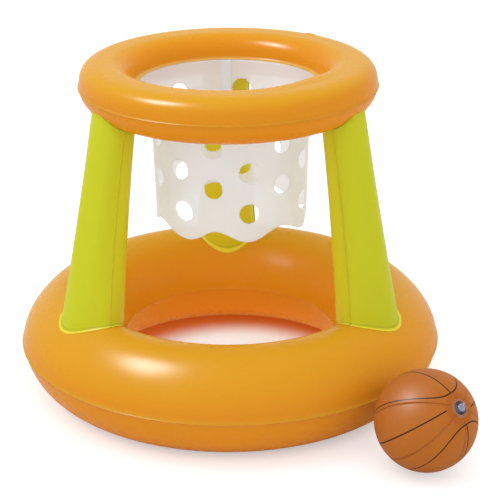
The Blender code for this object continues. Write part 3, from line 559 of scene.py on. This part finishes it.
def ring_section(ring, lean, side):
    """A skin's section from outer to inner seam: across from the tube's middle, and off its seam."""
    angle = np.linspace(0, math.pi, 721)
    turn = lean + (math.pi - 2 * lean) * angle / math.pi
    swell = ring["fullness"][side] * np.sin(2 * angle) ** 2
    across = ring["half"] * np.cos(turn) / math.cos(lean) + swell * np.cos(angle)
    low = math.sin(lean)
    rise = ring["crowns"][side] * (np.sin(turn) - low) / (1 - low) + swell * np.sin(angle)
    return across, rise + WELD_STAND


def ring_surface(ring, lean, side, radius):
    """Height of a ring's skin at a distance from its axis."""
    across, rise = ring_section(ring, lean, side)
    return ring["seam"] + side * np.interp(radius - ring["radius"], across[::-1], rise[::-1])


def wall(turn, share, out, trim, front):
    """A post's wall, radially and tangentially, at a turn and a share of its height, out off its film.

    The trim draws in the foot's inner side. The front side, +1 or -1 across, spreads at the foot, as the
    photograph shows.
    """
    # the film is pulled straight between its ends, draws in a little half way, and shows soft upright flutes
    middle = 4 * share * (1 - share)
    sag = 0.0015 * middle - 0.0011 * np.cos(6 * turn + 0.6) * np.clip(middle, 0, 1)
    sag = sag - trim * (1 - share) * (np.cos(turn) < 0) * np.cos(turn)
    radius, radial, tangential = (POST_FOOT[key] + (POST_HEAD[key] - POST_FOOT[key]) * share
                                  for key in ("radius", "radial", "tangential"))
    more = FILM + out - sag
    spread = 0.009 * front * np.clip(front * np.sin(turn), 0, 1) ** 5 * (1 - share) ** 3
    tuck = 0.0026 * abs(front) * np.clip(np.cos(turn), 0, 1) * (1 - share) ** 2
    return radius + (radial + more) * np.cos(turn) - tuck, (tangential + more) * np.sin(turn) + spread


def post(which, bearing, trim, front):
    """A post's two panels and its two discs. The trim and the front side are those of its wall."""
    span = POST_HEAD_Z - POST_FOOT_Z
    full = np.linspace(-math.pi / 2, 1.5 * math.pi, 2 * PANEL_STEPS + 1)

    def ends(turn):
        """The shares where the wall meets the base ring below and the hoop ring above."""
        low, high = np.zeros_like(turn), np.ones_like(turn)
        for _ in range(6):
            a, t = wall(turn, low, 0.0, trim, front)
            low = (ring_surface(BASE, UPPER_LEAN, 1, np.hypot(a, t)) - POST_FOOT_Z) / span
            a, t = wall(turn, high, 0.0, trim, front)
            high = (ring_surface(HOOP, HOOP_LOWER_LEAN, -1, np.hypot(a, t)) - POST_FOOT_Z) / span
        return low, np.minimum(high, (HEAD_TOP - POST_FOOT_Z) / span)

    def head_draw(fin, high):
        """How far the head is drawn in, in a round shoulder, until it lies on the ring's lower skin."""
        a, t = wall(fin, high, 0.0, trim, front)
        out, up = np.hypot(a, t) - HOOP["radius"], POST_FOOT_Z + span * high - HOOP["seam"]
        across, rise = ring_section(HOOP, HOOP_LOWER_LEAN, -1)
        slopes, lengths = np.arctan2(-rise, across)[::-1], np.hypot(across, rise)[::-1]
        shrink = (np.interp(np.arctan2(up, out), slopes, lengths) - WELD_STAND) / np.hypot(out, up)
        drawn = (HOOP["radius"] + out * shrink) / np.hypot(a, t)
        return a * (drawn - 1), t * (drawn - 1), up * (shrink - 1)

    def panel(name, turns, side):
        fin = np.concatenate(([turns[0]], turns, [turns[-1]]))
        reach = np.zeros_like(fin)
        reach[0] = reach[-1] = SIDE_LIP
        low, high = ends(fin)
        draw_a, draw_t, draw_up = head_draw(fin, high)
        seam = np.min([np.abs(fin - middle * math.pi) for middle in (-0.5, 0.5, 1.5)], axis=0)
        # painted light: film that faces the hoop's middle takes the fuller tone of film lit through from
        # behind
        inside = np.clip((0.8 - np.cos(fin)) / 1.6, 0, 1) ** 1.5
        # the foot: lip edge, lip, a small fillet, then the wall, drawn in a little over its weld
        # each row's last number is how bright it is painted: the lip is painted in its bright tone, a painted
        # light
        foot = [(FOOT_LIP, 0.0, 1.0), (FOOT_LIP * 0.55, 0.0, 1.0), (0.0014, 0.0, 0.9), (0.0003, 0.0004, 0.3),
                (-0.0004, 0.0016, 0.0), (-0.0005, 0.004, 0.0)]
        shares = np.concatenate((np.linspace(0, 0.92, 52), np.linspace(0.925, 1, 26)))
        plan = [("foot", out, up, bright) for out, up, bright in foot]
        plan += [("wall", None, share, 0.0) for share in shares]
        rows, weld, crease_shade, us, vs = [], [], [], [], []
        for kind, out, up, bright in plan:
            if kind == "wall":
                foot_gap = 0.008 / span
                share = low + foot_gap + (high - low - foot_gap) * up
                away = np.minimum(share - low, high - share) * span
                out = -0.0005 * np.exp(-away / 0.01)
                height = POST_FOOT_Z + span * share
                # painted shade near the foot and the head
                dark = np.where(share - low < high - share, 0.9, 0.5) * np.exp(-away / 0.004)
                # puckers above the weld, and a shallow valley along the side seam
                pucker = 0.00018 * np.exp(-away / 0.012) * np.sin(fin * 23 + bearing) * np.sin(fin * 9 + 1)
                valley = -0.0004 * np.exp(-seam * POST_SECTION_RADIUS / 0.0035) * (reach == 0)
                out = out + (pucker + valley)
            else:
                share = low + up / span
            a, t = wall(fin, share, out, trim, front)
            t = t + np.sign(t) * reach
            if kind == "foot":
                height = ring_surface(BASE, UPPER_LEAN, 1, np.hypot(a, t)) + FOOT_STAND + up
                # painted shade in a band just above the foot's lip
                dark = np.full_like(fin, 1.0 if 0.0 < up < 0.003 else 0.0)
            else:
                near = np.clip(1 - (high - share) * span / 0.014, 0, 1)
                pull = 1 - np.sqrt(1 - near ** 2)
                a, t, height = a + draw_a * pull, t + draw_t * pull, height + draw_up * pull
            a = a + side * WELD_STAND * ((reach > 0) + np.exp(-seam * 40))
            rows.append([post_spot(bearing, *spot) for spot in zip(a, t, height)])
            # painted highlight: the side lips take the lip's bright tone, and a thin light line is painted on
            # the wall beside each seam
            beside = np.where(reach > 0, 0.8, 0.45 * np.exp(-seam * POST_SECTION_RADIUS / 0.001))
            weld.append(np.maximum(bright, beside))
            crease_shade.append(dark)
            us.append(fin * POST_SECTION_RADIUS + np.sign(t) * reach)
            vs.append(height)
        marks = {"weld": np.array(weld), "crease_shade": np.array(crease_shade), "inside": np.tile(inside, len(rows))}
        return solid(name, np.array(rows).reshape(-1, 3), lattice(len(rows), len(fin)), green, marks,
                     lattice_uv(np.array(us), np.array(vs)))

    def disc(name, lip, share, ring, lean, side, vent):
        turns = np.linspace(0, math.tau, DISC_STEPS, endpoint=False)
        a, t = wall(turns, share, lip + 0.0002, trim, front)
        if side < 0:
            # the head's disc stops where the drawn-in edge of the panels covers it
            limit = np.minimum(1, HEAD_DISC_REACH / np.hypot(a, t))
            a, t = a * limit, t * limit
        centre = (POST_FOOT if side > 0 else POST_HEAD)["radius"]
        a0, t0 = centre + vent * np.cos(turns), vent * np.sin(turns)
        rows = []
        for step in np.linspace(0, 1, 14):
            x, y = a0 + (a - a0) * step, t0 + (t - t0) * step
            z = ring_surface(ring, lean, side, np.hypot(x, y)) + side * DISC_STAND
            rows.append([post_spot(bearing, *spot) for spot in zip(x, y, z)])
        points = list(np.array(rows).reshape(-1, 3))
        if vent:
            faces = lattice(len(rows), DISC_STEPS, wrap=True)
        else:
            # with no vent the innermost row is one point
            z = float(ring_surface(ring, lean, side, centre)) + side * DISC_STAND
            points = points[DISC_STEPS:] + [post_spot(bearing, centre, 0, z)]
            faces = lattice(len(rows) - 1, DISC_STEPS, wrap=True)
            faces += [(len(points) - 1, c, (c + 1) % DISC_STEPS) for c in range(DISC_STEPS)]
        if side < 0:
            faces = [tuple(reversed(face)) for face in faces]
        # painted light: the foot's disc is painted in the lip's bright tone; no painted shade lies on a disc
        marks = {"weld": np.full(len(points), 1.0 if side > 0 else 0.0), "crease_shade": np.zeros(len(points))}
        return solid(name, points, faces, green, marks)

    pieces = {
        "outer_panel": panel(f"{which}_post_outer_film", full[:PANEL_STEPS + 1], 1),
        "inner_panel": panel(f"{which}_post_inner_film", full[PANEL_STEPS:], -1),
        "foot_disc": disc(f"{which}_post_foot_film", FOOT_LIP, 0.0, BASE, UPPER_LEAN, 1, 0.0),
        "head_disc": disc(f"{which}_post_head_film", HEAD_LIP, 1.0, HOOP, HOOP_LOWER_LEAN, -1, VENT_RADIUS),
    }
    for node, piece in pieces.items():
        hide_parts(f"{which}_post_{node}")
        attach(piece, "hoop")


for which, bearing in POST_BEARINGS.items():
    post(which, bearing, 0.006 if which == "back" else 0.0, {"back": 0, "left": 1, "right": -1}[which])


def net_tree():
    """A flat strip of film with a scalloped edge and rows of punched holes."""
    tree, given = new_tree(
        "Punched film strip", Length=0.8, Start=-0.4, StepsLong=333, StepsDeep=91, MeanDepth=0.2, Wave=0.008,
        WaveLength=0.112, WaveStart=0.03, Flange=0.0026, HoleRadius=0.015, Columns=7, ColumnPitch=0.112,
        EvenStart=0.0, OddStart=0.0, EvenTop=0.04, EvenRows=3, EvenPitch=0.0646, OddTop=0.066, OddRows=2,
        OddPitch=0.064, Film=None)
    grid = tree.put("GeometryNodeMeshGrid", 1.0, 1.0, given["StepsLong"], given["StepsDeep"])
    flat = tree.put("ShaderNodeSeparateXYZ", tree.put("GeometryNodeInputPosition")).node
    x = tree.times_plus(tree.add(flat.outputs[0], 0.5), given["Length"], given["Start"])
    phase = tree.over(tree.minus(x, given["WaveStart"]), given["WaveLength"])
    wave = tree.calc("COSINE", tree.times(phase, math.tau))
    depth = tree.times_plus(wave, given["Wave"], given["MeanDepth"])
    down = tree.times(tree.add(flat.outputs[1], 0.5), tree.add(depth, given["Flange"]))
    down = tree.minus(down, given["Flange"])
    mesh = tree.put("GeometryNodeSetPosition", {"Geometry": grid, "Position": tree.triple(x, down)})
    # hole centres: a line of columns set on a line of rows, twice
    join = tree.group.nodes.new("GeometryNodeJoinGeometry")
    for kind in ("Even", "Odd"):
        start = tree.triple(given[kind + "Start"], given[kind + "Top"])
        rows = tree.put("GeometryNodeMeshLine", {
            "Count": given[kind + "Rows"], "Start Location": start,
            "Offset": tree.triple(0.0, given[kind + "Pitch"])})
        columns = tree.put("GeometryNodeMeshLine", {
            "Count": given["Columns"], "Offset": tree.triple(given["ColumnPitch"])})
        line = tree.put("GeometryNodeInstanceOnPoints", {"Points": rows, "Instance": columns})
        tree.group.links.new(line, join.inputs[0])
    centres = tree.put("GeometryNodeRealizeInstances", {"Geometry": join.outputs[0]})
    near = tree.put("GeometryNodeProximity", {"Geometry": centres}, target_element="POINTS").node
    distance, centre = near.outputs["Distance"], near.outputs["Position"]
    inside = tree.put("FunctionNodeCompare", distance, given["HoleRadius"], operation="LESS_THAN")
    mesh = tree.put("GeometryNodeDeleteGeometry", {"Geometry": mesh, "Selection": inside}, domain="FACE")
    # the cut edge is drawn onto the punch's circle
    neighbours = tree.put("GeometryNodeInputMeshEdgeNeighbors")
    rim = tree.put("FunctionNodeCompare", {2: neighbours, 3: 1}, data_type="INT", operation="EQUAL")
    wider = tree.add(given["HoleRadius"], 0.003)
    beside = tree.put("FunctionNodeCompare", distance, wider, operation="LESS_THAN")
    both = tree.put("FunctionNodeBooleanMath", rim, beside, operation="AND")
    away = tree.vector("SUBTRACT", tree.put("GeometryNodeInputPosition"), centre)
    ray = tree.scale(tree.vector("NORMALIZE", away), given["HoleRadius"])
    moved = {"Geometry": mesh, "Selection": both, "Position": tree.vector("ADD", ray, centre)}
    tree.finish(tree.put("GeometryNodeSetPosition", moved), given["Film"])
    return tree


def bell(bearing, middle, width):
    """A soft hump round a bearing, with its middle and width in degrees."""
    return np.exp(-((bearing - math.radians(middle)) / math.radians(width)) ** 2)


def net():
    """The punched strip, rolled into a sleeve, lapped at the back, and hung under the hoop's inner lip."""
    pitch = (math.tau + NET_LAP_TAKE / NET_BODY_RADIUS) / NET_COLUMNS
    lap_start = NET_LAP_BEARING - NET_LAP / 2 / NET_BODY_RADIUS
    piece = grow(
        net_tree(), "net_sleeve_film", Length=math.tau * NET_BODY_RADIUS + NET_LAP,
        Start=(NET_LAP_BEARING - math.tau - NET_LAP / 2 / NET_BODY_RADIUS) * NET_BODY_RADIUS,
        MeanDepth=NET_TOP - NET_MEAN_EDGE, Wave=NET_WAVE, WaveLength=2 * pitch * NET_BODY_RADIUS,
        WaveStart=NET_LOBE_BEARING * NET_BODY_RADIUS, Flange=NET_FLANGE_RADIUS - NET_RIM_RADIUS,
        ColumnPitch=2 * pitch * NET_BODY_RADIUS, EvenStart=(NET_LOBE_BEARING - 6 * pitch) * NET_BODY_RADIUS,
        OddStart=(NET_LOBE_BEARING - 7 * pitch) * NET_BODY_RADIUS, EvenTop=NET_TOP - NET_EVEN_ROWS_TOP,
        OddTop=NET_TOP - NET_ODD_ROWS_TOP, Film=frosted_film)
    mesh = piece.data
    flat = np.empty(len(mesh.vertices) * 3)
    mesh.vertices.foreach_get("co", flat)
    flat = flat.reshape(-1, 3)
    bearing, down = flat[:, 0] / NET_BODY_RADIUS, flat[:, 1]
    z = NET_TOP - np.maximum(down, 0)
    rise = np.clip((z - NET_BODY_TOP) / (NET_TOP - NET_BODY_TOP), 0, 1)
    fall = np.clip((NET_BODY_TOP - z) / (NET_BODY_TOP - NET_MEAN_EDGE), 0, 1)
    radius = NET_BODY_RADIUS - 0.0017 * fall + (NET_RIM_RADIUS - NET_BODY_RADIUS) * rise * (1 + rise) / 2
    radius = radius + np.maximum(-down, 0)
    # the left front hangs askew, with its hem further round to the right
    bearing = bearing + (0.115 * fall ** 2 + 0.018 * (1 - rise)) * bell(bearing, -38, 26)
    # soft folds: the hem swings with its lobes, and the film waves a little in between
    folds = 0.0016 * fall * np.cos(7 * (bearing - NET_LOBE_BEARING))
    waves = np.sin(5 * bearing + 1.3) * np.sin(2 * bearing + 9 * z)
    folds = folds + 0.0009 * (0.3 + fall) * (1 - rise) * waves
    for middle in (-72, -54, 58, 76):
        folds = folds - 0.0011 * (1 - rise) * bell(bearing, middle, 5)
    # the left side hangs drawn in, as the photograph shows, and the back a little lower
    radius = radius + folds - (0.0065 + 0.0045 * fall) * (1 - rise) * bell(bearing, -92, 34)
    z = z - 0.004 * (1 - np.cos(bearing)) / 2 * np.clip(down / 0.03, 0, 1)
    over = np.clip((bearing - lap_start) * NET_BODY_RADIUS / 0.003 + 1, 0, 1)
    radius = radius + 0.0002 * over * (down >= 0)
    spots = np.stack((radius * np.sin(bearing), -radius * np.cos(bearing), z), axis=1) + AXIS
    corners = np.empty(len(mesh.loops), dtype=int)
    mesh.loops.foreach_get("vertex_index", corners)
    layer = mesh.uv_layers.new(name="UVMap")
    layer.data.foreach_set("uv", flat[corners][:, :2].ravel())
    mesh.vertices.foreach_set("co", spots.ravel())
    mesh.flip_normals()
    mesh.update()
    thicken(piece, NET_FILM, 1)
    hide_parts("net_sleeve")
    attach(piece, "hoop")


net()


def ball():
    """Six printed gores that belly out between their welds, and a round patch over the far pole."""
    x, y, z = BALL_AXES

    def spot(polar, turn, radius):
        outwards = math.sin(polar) * (math.cos(turn) * x + math.sin(turn) * y) + math.cos(polar) * z
        return BALL_MIDDLE + radius * outwards

    open_angle = math.asin(BALL_OPENING / BALL_RADIUS)
    polars = np.linspace(open_angle, math.pi - open_angle, 73)
    shares = np.linspace(0, 1, 29)
    for gore in range(BALL_GORES):
        points, weld = [], []
        for polar in polars:
            ring = BALL_RADIUS * math.sin(polar)
            # each gore ends 0.1 mm short of its seams
            low = math.tau * gore / BALL_GORES + 0.0001 / ring
            high = math.tau * (gore + 1) / BALL_GORES - 0.0001 / ring
            for share in shares:
                edge = min(share, 1 - share) * (high - low) * ring
                # the film dips by its own gauge at the weld
                radius = BALL_RADIUS - FILM * math.exp(-edge / 0.0025)
                points.append(spot(polar, low + (high - low) * share, radius))
                weld.append(math.exp(-edge / 0.0012))
        us = np.array([[(share - 0.5) * BALL_RADIUS * math.sin(polar) for share in shares]
                       for polar in polars])
        vs = np.array([[polar * BALL_RADIUS for _ in shares] for polar in polars])
        uv = lattice_uv(us, vs)
        uv = [pair for i in range(0, len(uv), 4) for pair in reversed(uv[i:i + 4])]
        faces = [tuple(reversed(face)) for face in lattice(len(polars), len(shares))]
        piece = solid(f"ball_gore_{gore + 1}_film", points, faces, ball_film, {"weld": weld}, uv)
        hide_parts(f"ball_gore_{gore + 1}")
        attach(piece, "ball")
    polars = math.pi - np.linspace(0, 1, 12)[1:] * math.asin(BALL_PATCH / BALL_RADIUS)
    turns = np.linspace(0, math.tau, PATCH_STEPS, endpoint=False)
    points = [spot(polar, turn, BALL_RADIUS + DISC_STAND) for polar in polars for turn in turns]
    points += [spot(math.pi, 0, BALL_RADIUS + DISC_STAND)]
    faces = lattice(len(polars), PATCH_STEPS, wrap=True)
    faces += [(c, (c + 1) % PATCH_STEPS, len(points) - 1) for c in range(PATCH_STEPS)]
    piece = solid("ball_pole_patch_film", points, faces, ball_film, {"weld": np.zeros(len(points))})
    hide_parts("ball_pole_patch")
    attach(piece, "ball")


ball()


def capped(rows, steps, first, last):
    """Faces of a closed shape: rows of points round an axis, and a fan to one more point at either end."""
    start = (rows - 1) * steps
    faces = lattice(rows, steps, wrap=True)
    faces += [(first, (c + 1) % steps, c) for c in range(steps)]
    return faces + [(last, start + c, start + (c + 1) % steps) for c in range(steps)]


def turned(profile):
    """Points and faces of a profile of (radius, height) turned round the seat's axis.

    The profile starts and ends on the axis, or it is a loop.
    """
    loop = profile[0][0] > 0
    body = profile if loop else profile[1:-1]
    turns = np.linspace(0, math.tau, TURNED_STEPS, endpoint=False)
    points = [(r * math.cos(t), r * math.sin(t), z) for r, z in body for t in turns]
    if loop:
        last = (len(body) - 1) * TURNED_STEPS
        faces = lattice(len(body), TURNED_STEPS, wrap=True)
        faces += [(last + c, last + (c + 1) % TURNED_STEPS, (c + 1) % TURNED_STEPS, c)
                  for c in range(TURNED_STEPS)]
        return points, faces
    points += [(0, 0, profile[0][1]), (0, 0, profile[-1][1])]
    return points, capped(len(body), TURNED_STEPS, len(points) - 2, len(points) - 1)


def strip(start, end, half, low, high, soft):
    """Points and faces of a bar along the seat's X with a rounded section and rounded ends."""
    turns = np.linspace(0, math.tau, STRIP_STEPS, endpoint=False)
    cy, cz = (np.sign(v) * np.abs(v) ** 0.45 for v in (np.cos(turns), np.sin(turns)))
    rows = [(d * soft, soft * (1 - math.sqrt(1 - (1 - d) ** 2))) for d in (0.0, 0.1, 0.35, 1.0)]
    plan = [(start + x, inset) for x, inset in rows] + [(end - x, inset) for x, inset in reversed(rows)]
    middle, thick = (low + high) / 2, (high - low) / 2
    points = [(x, (half - inset) * y, middle + (thick - min(inset, thick * 0.7)) * z)
              for x, inset in plan for y, z in zip(cy, cz)]
    points += [(start, 0, middle), (end, 0, middle)]
    return points, capped(len(plan), STRIP_STEPS, len(points) - 2, len(points) - 1)


# A valve's three pieces, in metres from the seat outwards. The soft roundings come from the mould.
VALVE_SHAPES = {
    "flange": [turned([
        (0.0054, 0.0003), (0.0139, 0.0003), (0.014, 0.0004), (0.014, 0.00055), (0.0138, 0.00068),
        (0.0132, 0.0007), (0.0128, 0.00078), (0.0118, 0.00078), (0.0114, 0.0007), (0.0068, 0.0007),
        (0.0062, 0.00078), (0.0056, 0.00078), (0.0054, 0.0007)])],
    "stem": [turned([
        (0.0038, -0.01165), (0.0062, -0.01165), (0.0066, -0.0115), (0.0066, -0.011), (0.0064, -0.01085),
        (0.005, -0.01085), (0.0047, -0.0105), (0.0047, 0.0006), (0.0049, 0.001), (0.0055, 0.001),
        (0.0058, 0.0012), (0.0058, 0.0019), (0.0056, 0.0022), (0.0041, 0.0022), (0.0038, 0.002)]),
        strip(0.0045, 0.009, 0.0018, 0.0013, 0.00205, 0.0006)],
    "plug": [turned([
        (0, -0.0015), (0.0024, -0.0015), (0.0028, -0.0013), (0.0029, -0.001), (0.0036, 0.0022),
        (0.0037, 0.00242), (0.0045, 0.0025), (0.0053, 0.0025), (0.0056, 0.0027), (0.0056, 0.0035),
        (0.0053, 0.0038), (0.0046, 0.0039), (0.0042, 0.00375), (0.0024, 0.00365), (0, 0.0036)]),
        strip(0.0038, 0.009, 0.0014, 0.00264, 0.00354, 0.0005)],
}


def valve(prefix, seat, towards, bodies, bend=0.0):
    """A valve of clear soft PVC: a flange welded to the film, a stem that pushes in, and a plug on its strap.

    The seat's X points towards the strap. The bend is the radius of what the flange lies on.
    """
    spot, out = np.array(seat[0]), np.array(seat[1])
    along = np.array(towards)
    axes = np.array((along, np.cross(out, along), out))
    for (part, pieces), body in zip(VALVE_SHAPES.items(), bodies):
        points, faces = [], []
        for more, more_faces in pieces:
            faces += [tuple(len(points) + i for i in face) for face in more_faces]
            points += more
        points = np.array(points)
        if part == "flange" and bend:
            points[:, 2] -= (points[:, 0] ** 2 + points[:, 1] ** 2) / (2 * bend)
        marks = {"thick": np.full(len(points), float(part != "flange"))}
        name = f"{prefix}_valve_{part}"
        piece = solid(f"{name}_moulded", points @ axes + spot, faces, clear_valve, marks, thickness=0)
        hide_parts(name)
        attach(piece, body)


valve("base", BASE_VALVE_SEAT, (-0.751840, -0.659346, 0.0), ("hoop", "base_valve_stem", "base_valve_plug"))
valve("hoop", HOOP_VALVE_SEAT, (-0.760405, 0.649449, 0.0), ("hoop", "hoop_valve_stem", "hoop_valve_plug"))
valve("ball", BALL_VALVE_SEAT, BALL_AXES[0], ("ball", "ball_valve_stem", "ball_valve_plug"), BALL_RADIUS)


def pale_floor():
    """A pale floor that keeps the object's shadow, with painted light and shade inside the ring."""
    side, z = 6, -0.0003
    mesh = bpy.data.meshes.new("floor")
    corners = [(-side, -side, z), (side, -side, z), (side, side, z), (-side, side, z)]
    mesh.from_pydata(corners, [], [(0, 1, 2, 3)])
    floor = add_object("floor", mesh)
    material, tree, place = new_material("painted pale floor")
    camera_ray = tree.put("ShaderNodeLightPath", out="Is Camera Ray")
    # painted light: the light that comes through the orange film is painted as a glow on the floor in the
    # ring, strongest close to the film
    away = tree.vector("DISTANCE", place, (AXIS[0] + 0.008, AXIS[1] - 0.004, 0.0))
    beyond = tree.remap(away, 0.25, 0.26, 1.0, 0.0)
    glow = tree.times(tree.step(away, 0.145, 0.218), beyond)
    tint = tree.blend(glow, grey(0.66), (0.42, 0.24, 0.09, 1))
    # the camera sees the same paint a little darker, so that it keeps the object's shadow light
    paint = tree.put("ShaderNodeBsdfDiffuse", {"Color": tree.blend(camera_ray, grey(0.84), tint)})
    # painted shade: inside the ring the floor is lifted less than beyond it
    lift = tree.blend(tree.remap(away, 0.26, 0.3), grey(0.4), grey(0.52))
    lift = tree.blend(glow, lift, (0.31, 0.042, 0.004, 1))
    # painted light: the floor in the ring glows for all rays but the camera's, so that the same light goes
    # back up onto the film
    wide = tree.times(tree.step(away, 0.04, 0.19), tree.times_plus(glow, -0.55, 1.0))
    back_up = tree.scale((0.58, 0.4, 0.2), tree.times(wide, beyond))
    shine = tree.put("ShaderNodeEmission", {"Color": tree.blend(camera_ray, back_up, lift), "Strength": 1.0})
    tree.surface(tree.put("ShaderNodeAddShader", paint, shine))
    mesh.materials.append(material)


def white_world():
    """A white world that the gloss also sees."""
    world = bpy.data.worlds.new("white studio")
    bpy.context.scene.world = world
    world.use_nodes = True
    world.node_tree.nodes.clear()
    tree = Tree(world.node_tree)
    path = tree.put("ShaderNodeLightPath").node
    seen = tree.calc("MAXIMUM", path.outputs["Is Camera Ray"], path.outputs["Is Glossy Ray"])
    seen = tree.calc("MAXIMUM", seen, path.outputs["Is Transmission Ray"])
    white = tree.put("ShaderNodeBackground", (1, 1, 1, 1), tree.remap(seen, 0.0, 1.0, 1.05, 1.0))
    tree.put("ShaderNodeOutputWorld", {"Surface": white})


def lamps():
    """A wide lamp lights the object softly, and a smaller one there only gives the film its gloss."""
    aim = Vector((0.0, 0.0, 0.25))
    for name, place, size, power, only_gloss in (
        ("wide lamp above left", (-1.6, -0.5, 2.6), 2.0, 13, False),
        ("softbox above left", (-1.58, -0.52, 2.6), 1.05, 430, True),
    ):
        lamp = bpy.data.lights.new(name, "AREA")
        lamp.shape, lamp.size, lamp.energy = "DISK", size, power
        holder = add_object(name, lamp)
        holder.visible_diffuse = not only_gloss
        turn = (aim - Vector(place)).to_track_quat("-Z", "Y").to_matrix().to_4x4()
        holder.matrix_world = Matrix.Translation(place) @ turn


def camera():
    """The photograph's view: a long lens that looks down a little, and rolls by less than half a degree."""
    lens = bpy.data.cameras.new("photo_camera")
    lens.lens, lens.sensor_width, lens.shift_x, lens.clip_end = 118.0, 36.0, 0.041, 50.0
    holder = add_object("photo_camera", lens)
    tilt = Matrix.Rotation(math.radians(68.48), 4, "X")
    roll = Matrix.Rotation(math.radians(-0.44), 4, "Z")
    holder.matrix_world = Matrix.Translation((-0.011026, -2.400051, 1.174)) @ tilt @ roll
    bpy.context.scene.camera = holder


pale_floor()
white_world()
lamps()
camera()
bpy.context.scene.view_settings.view_transform = "Standard"
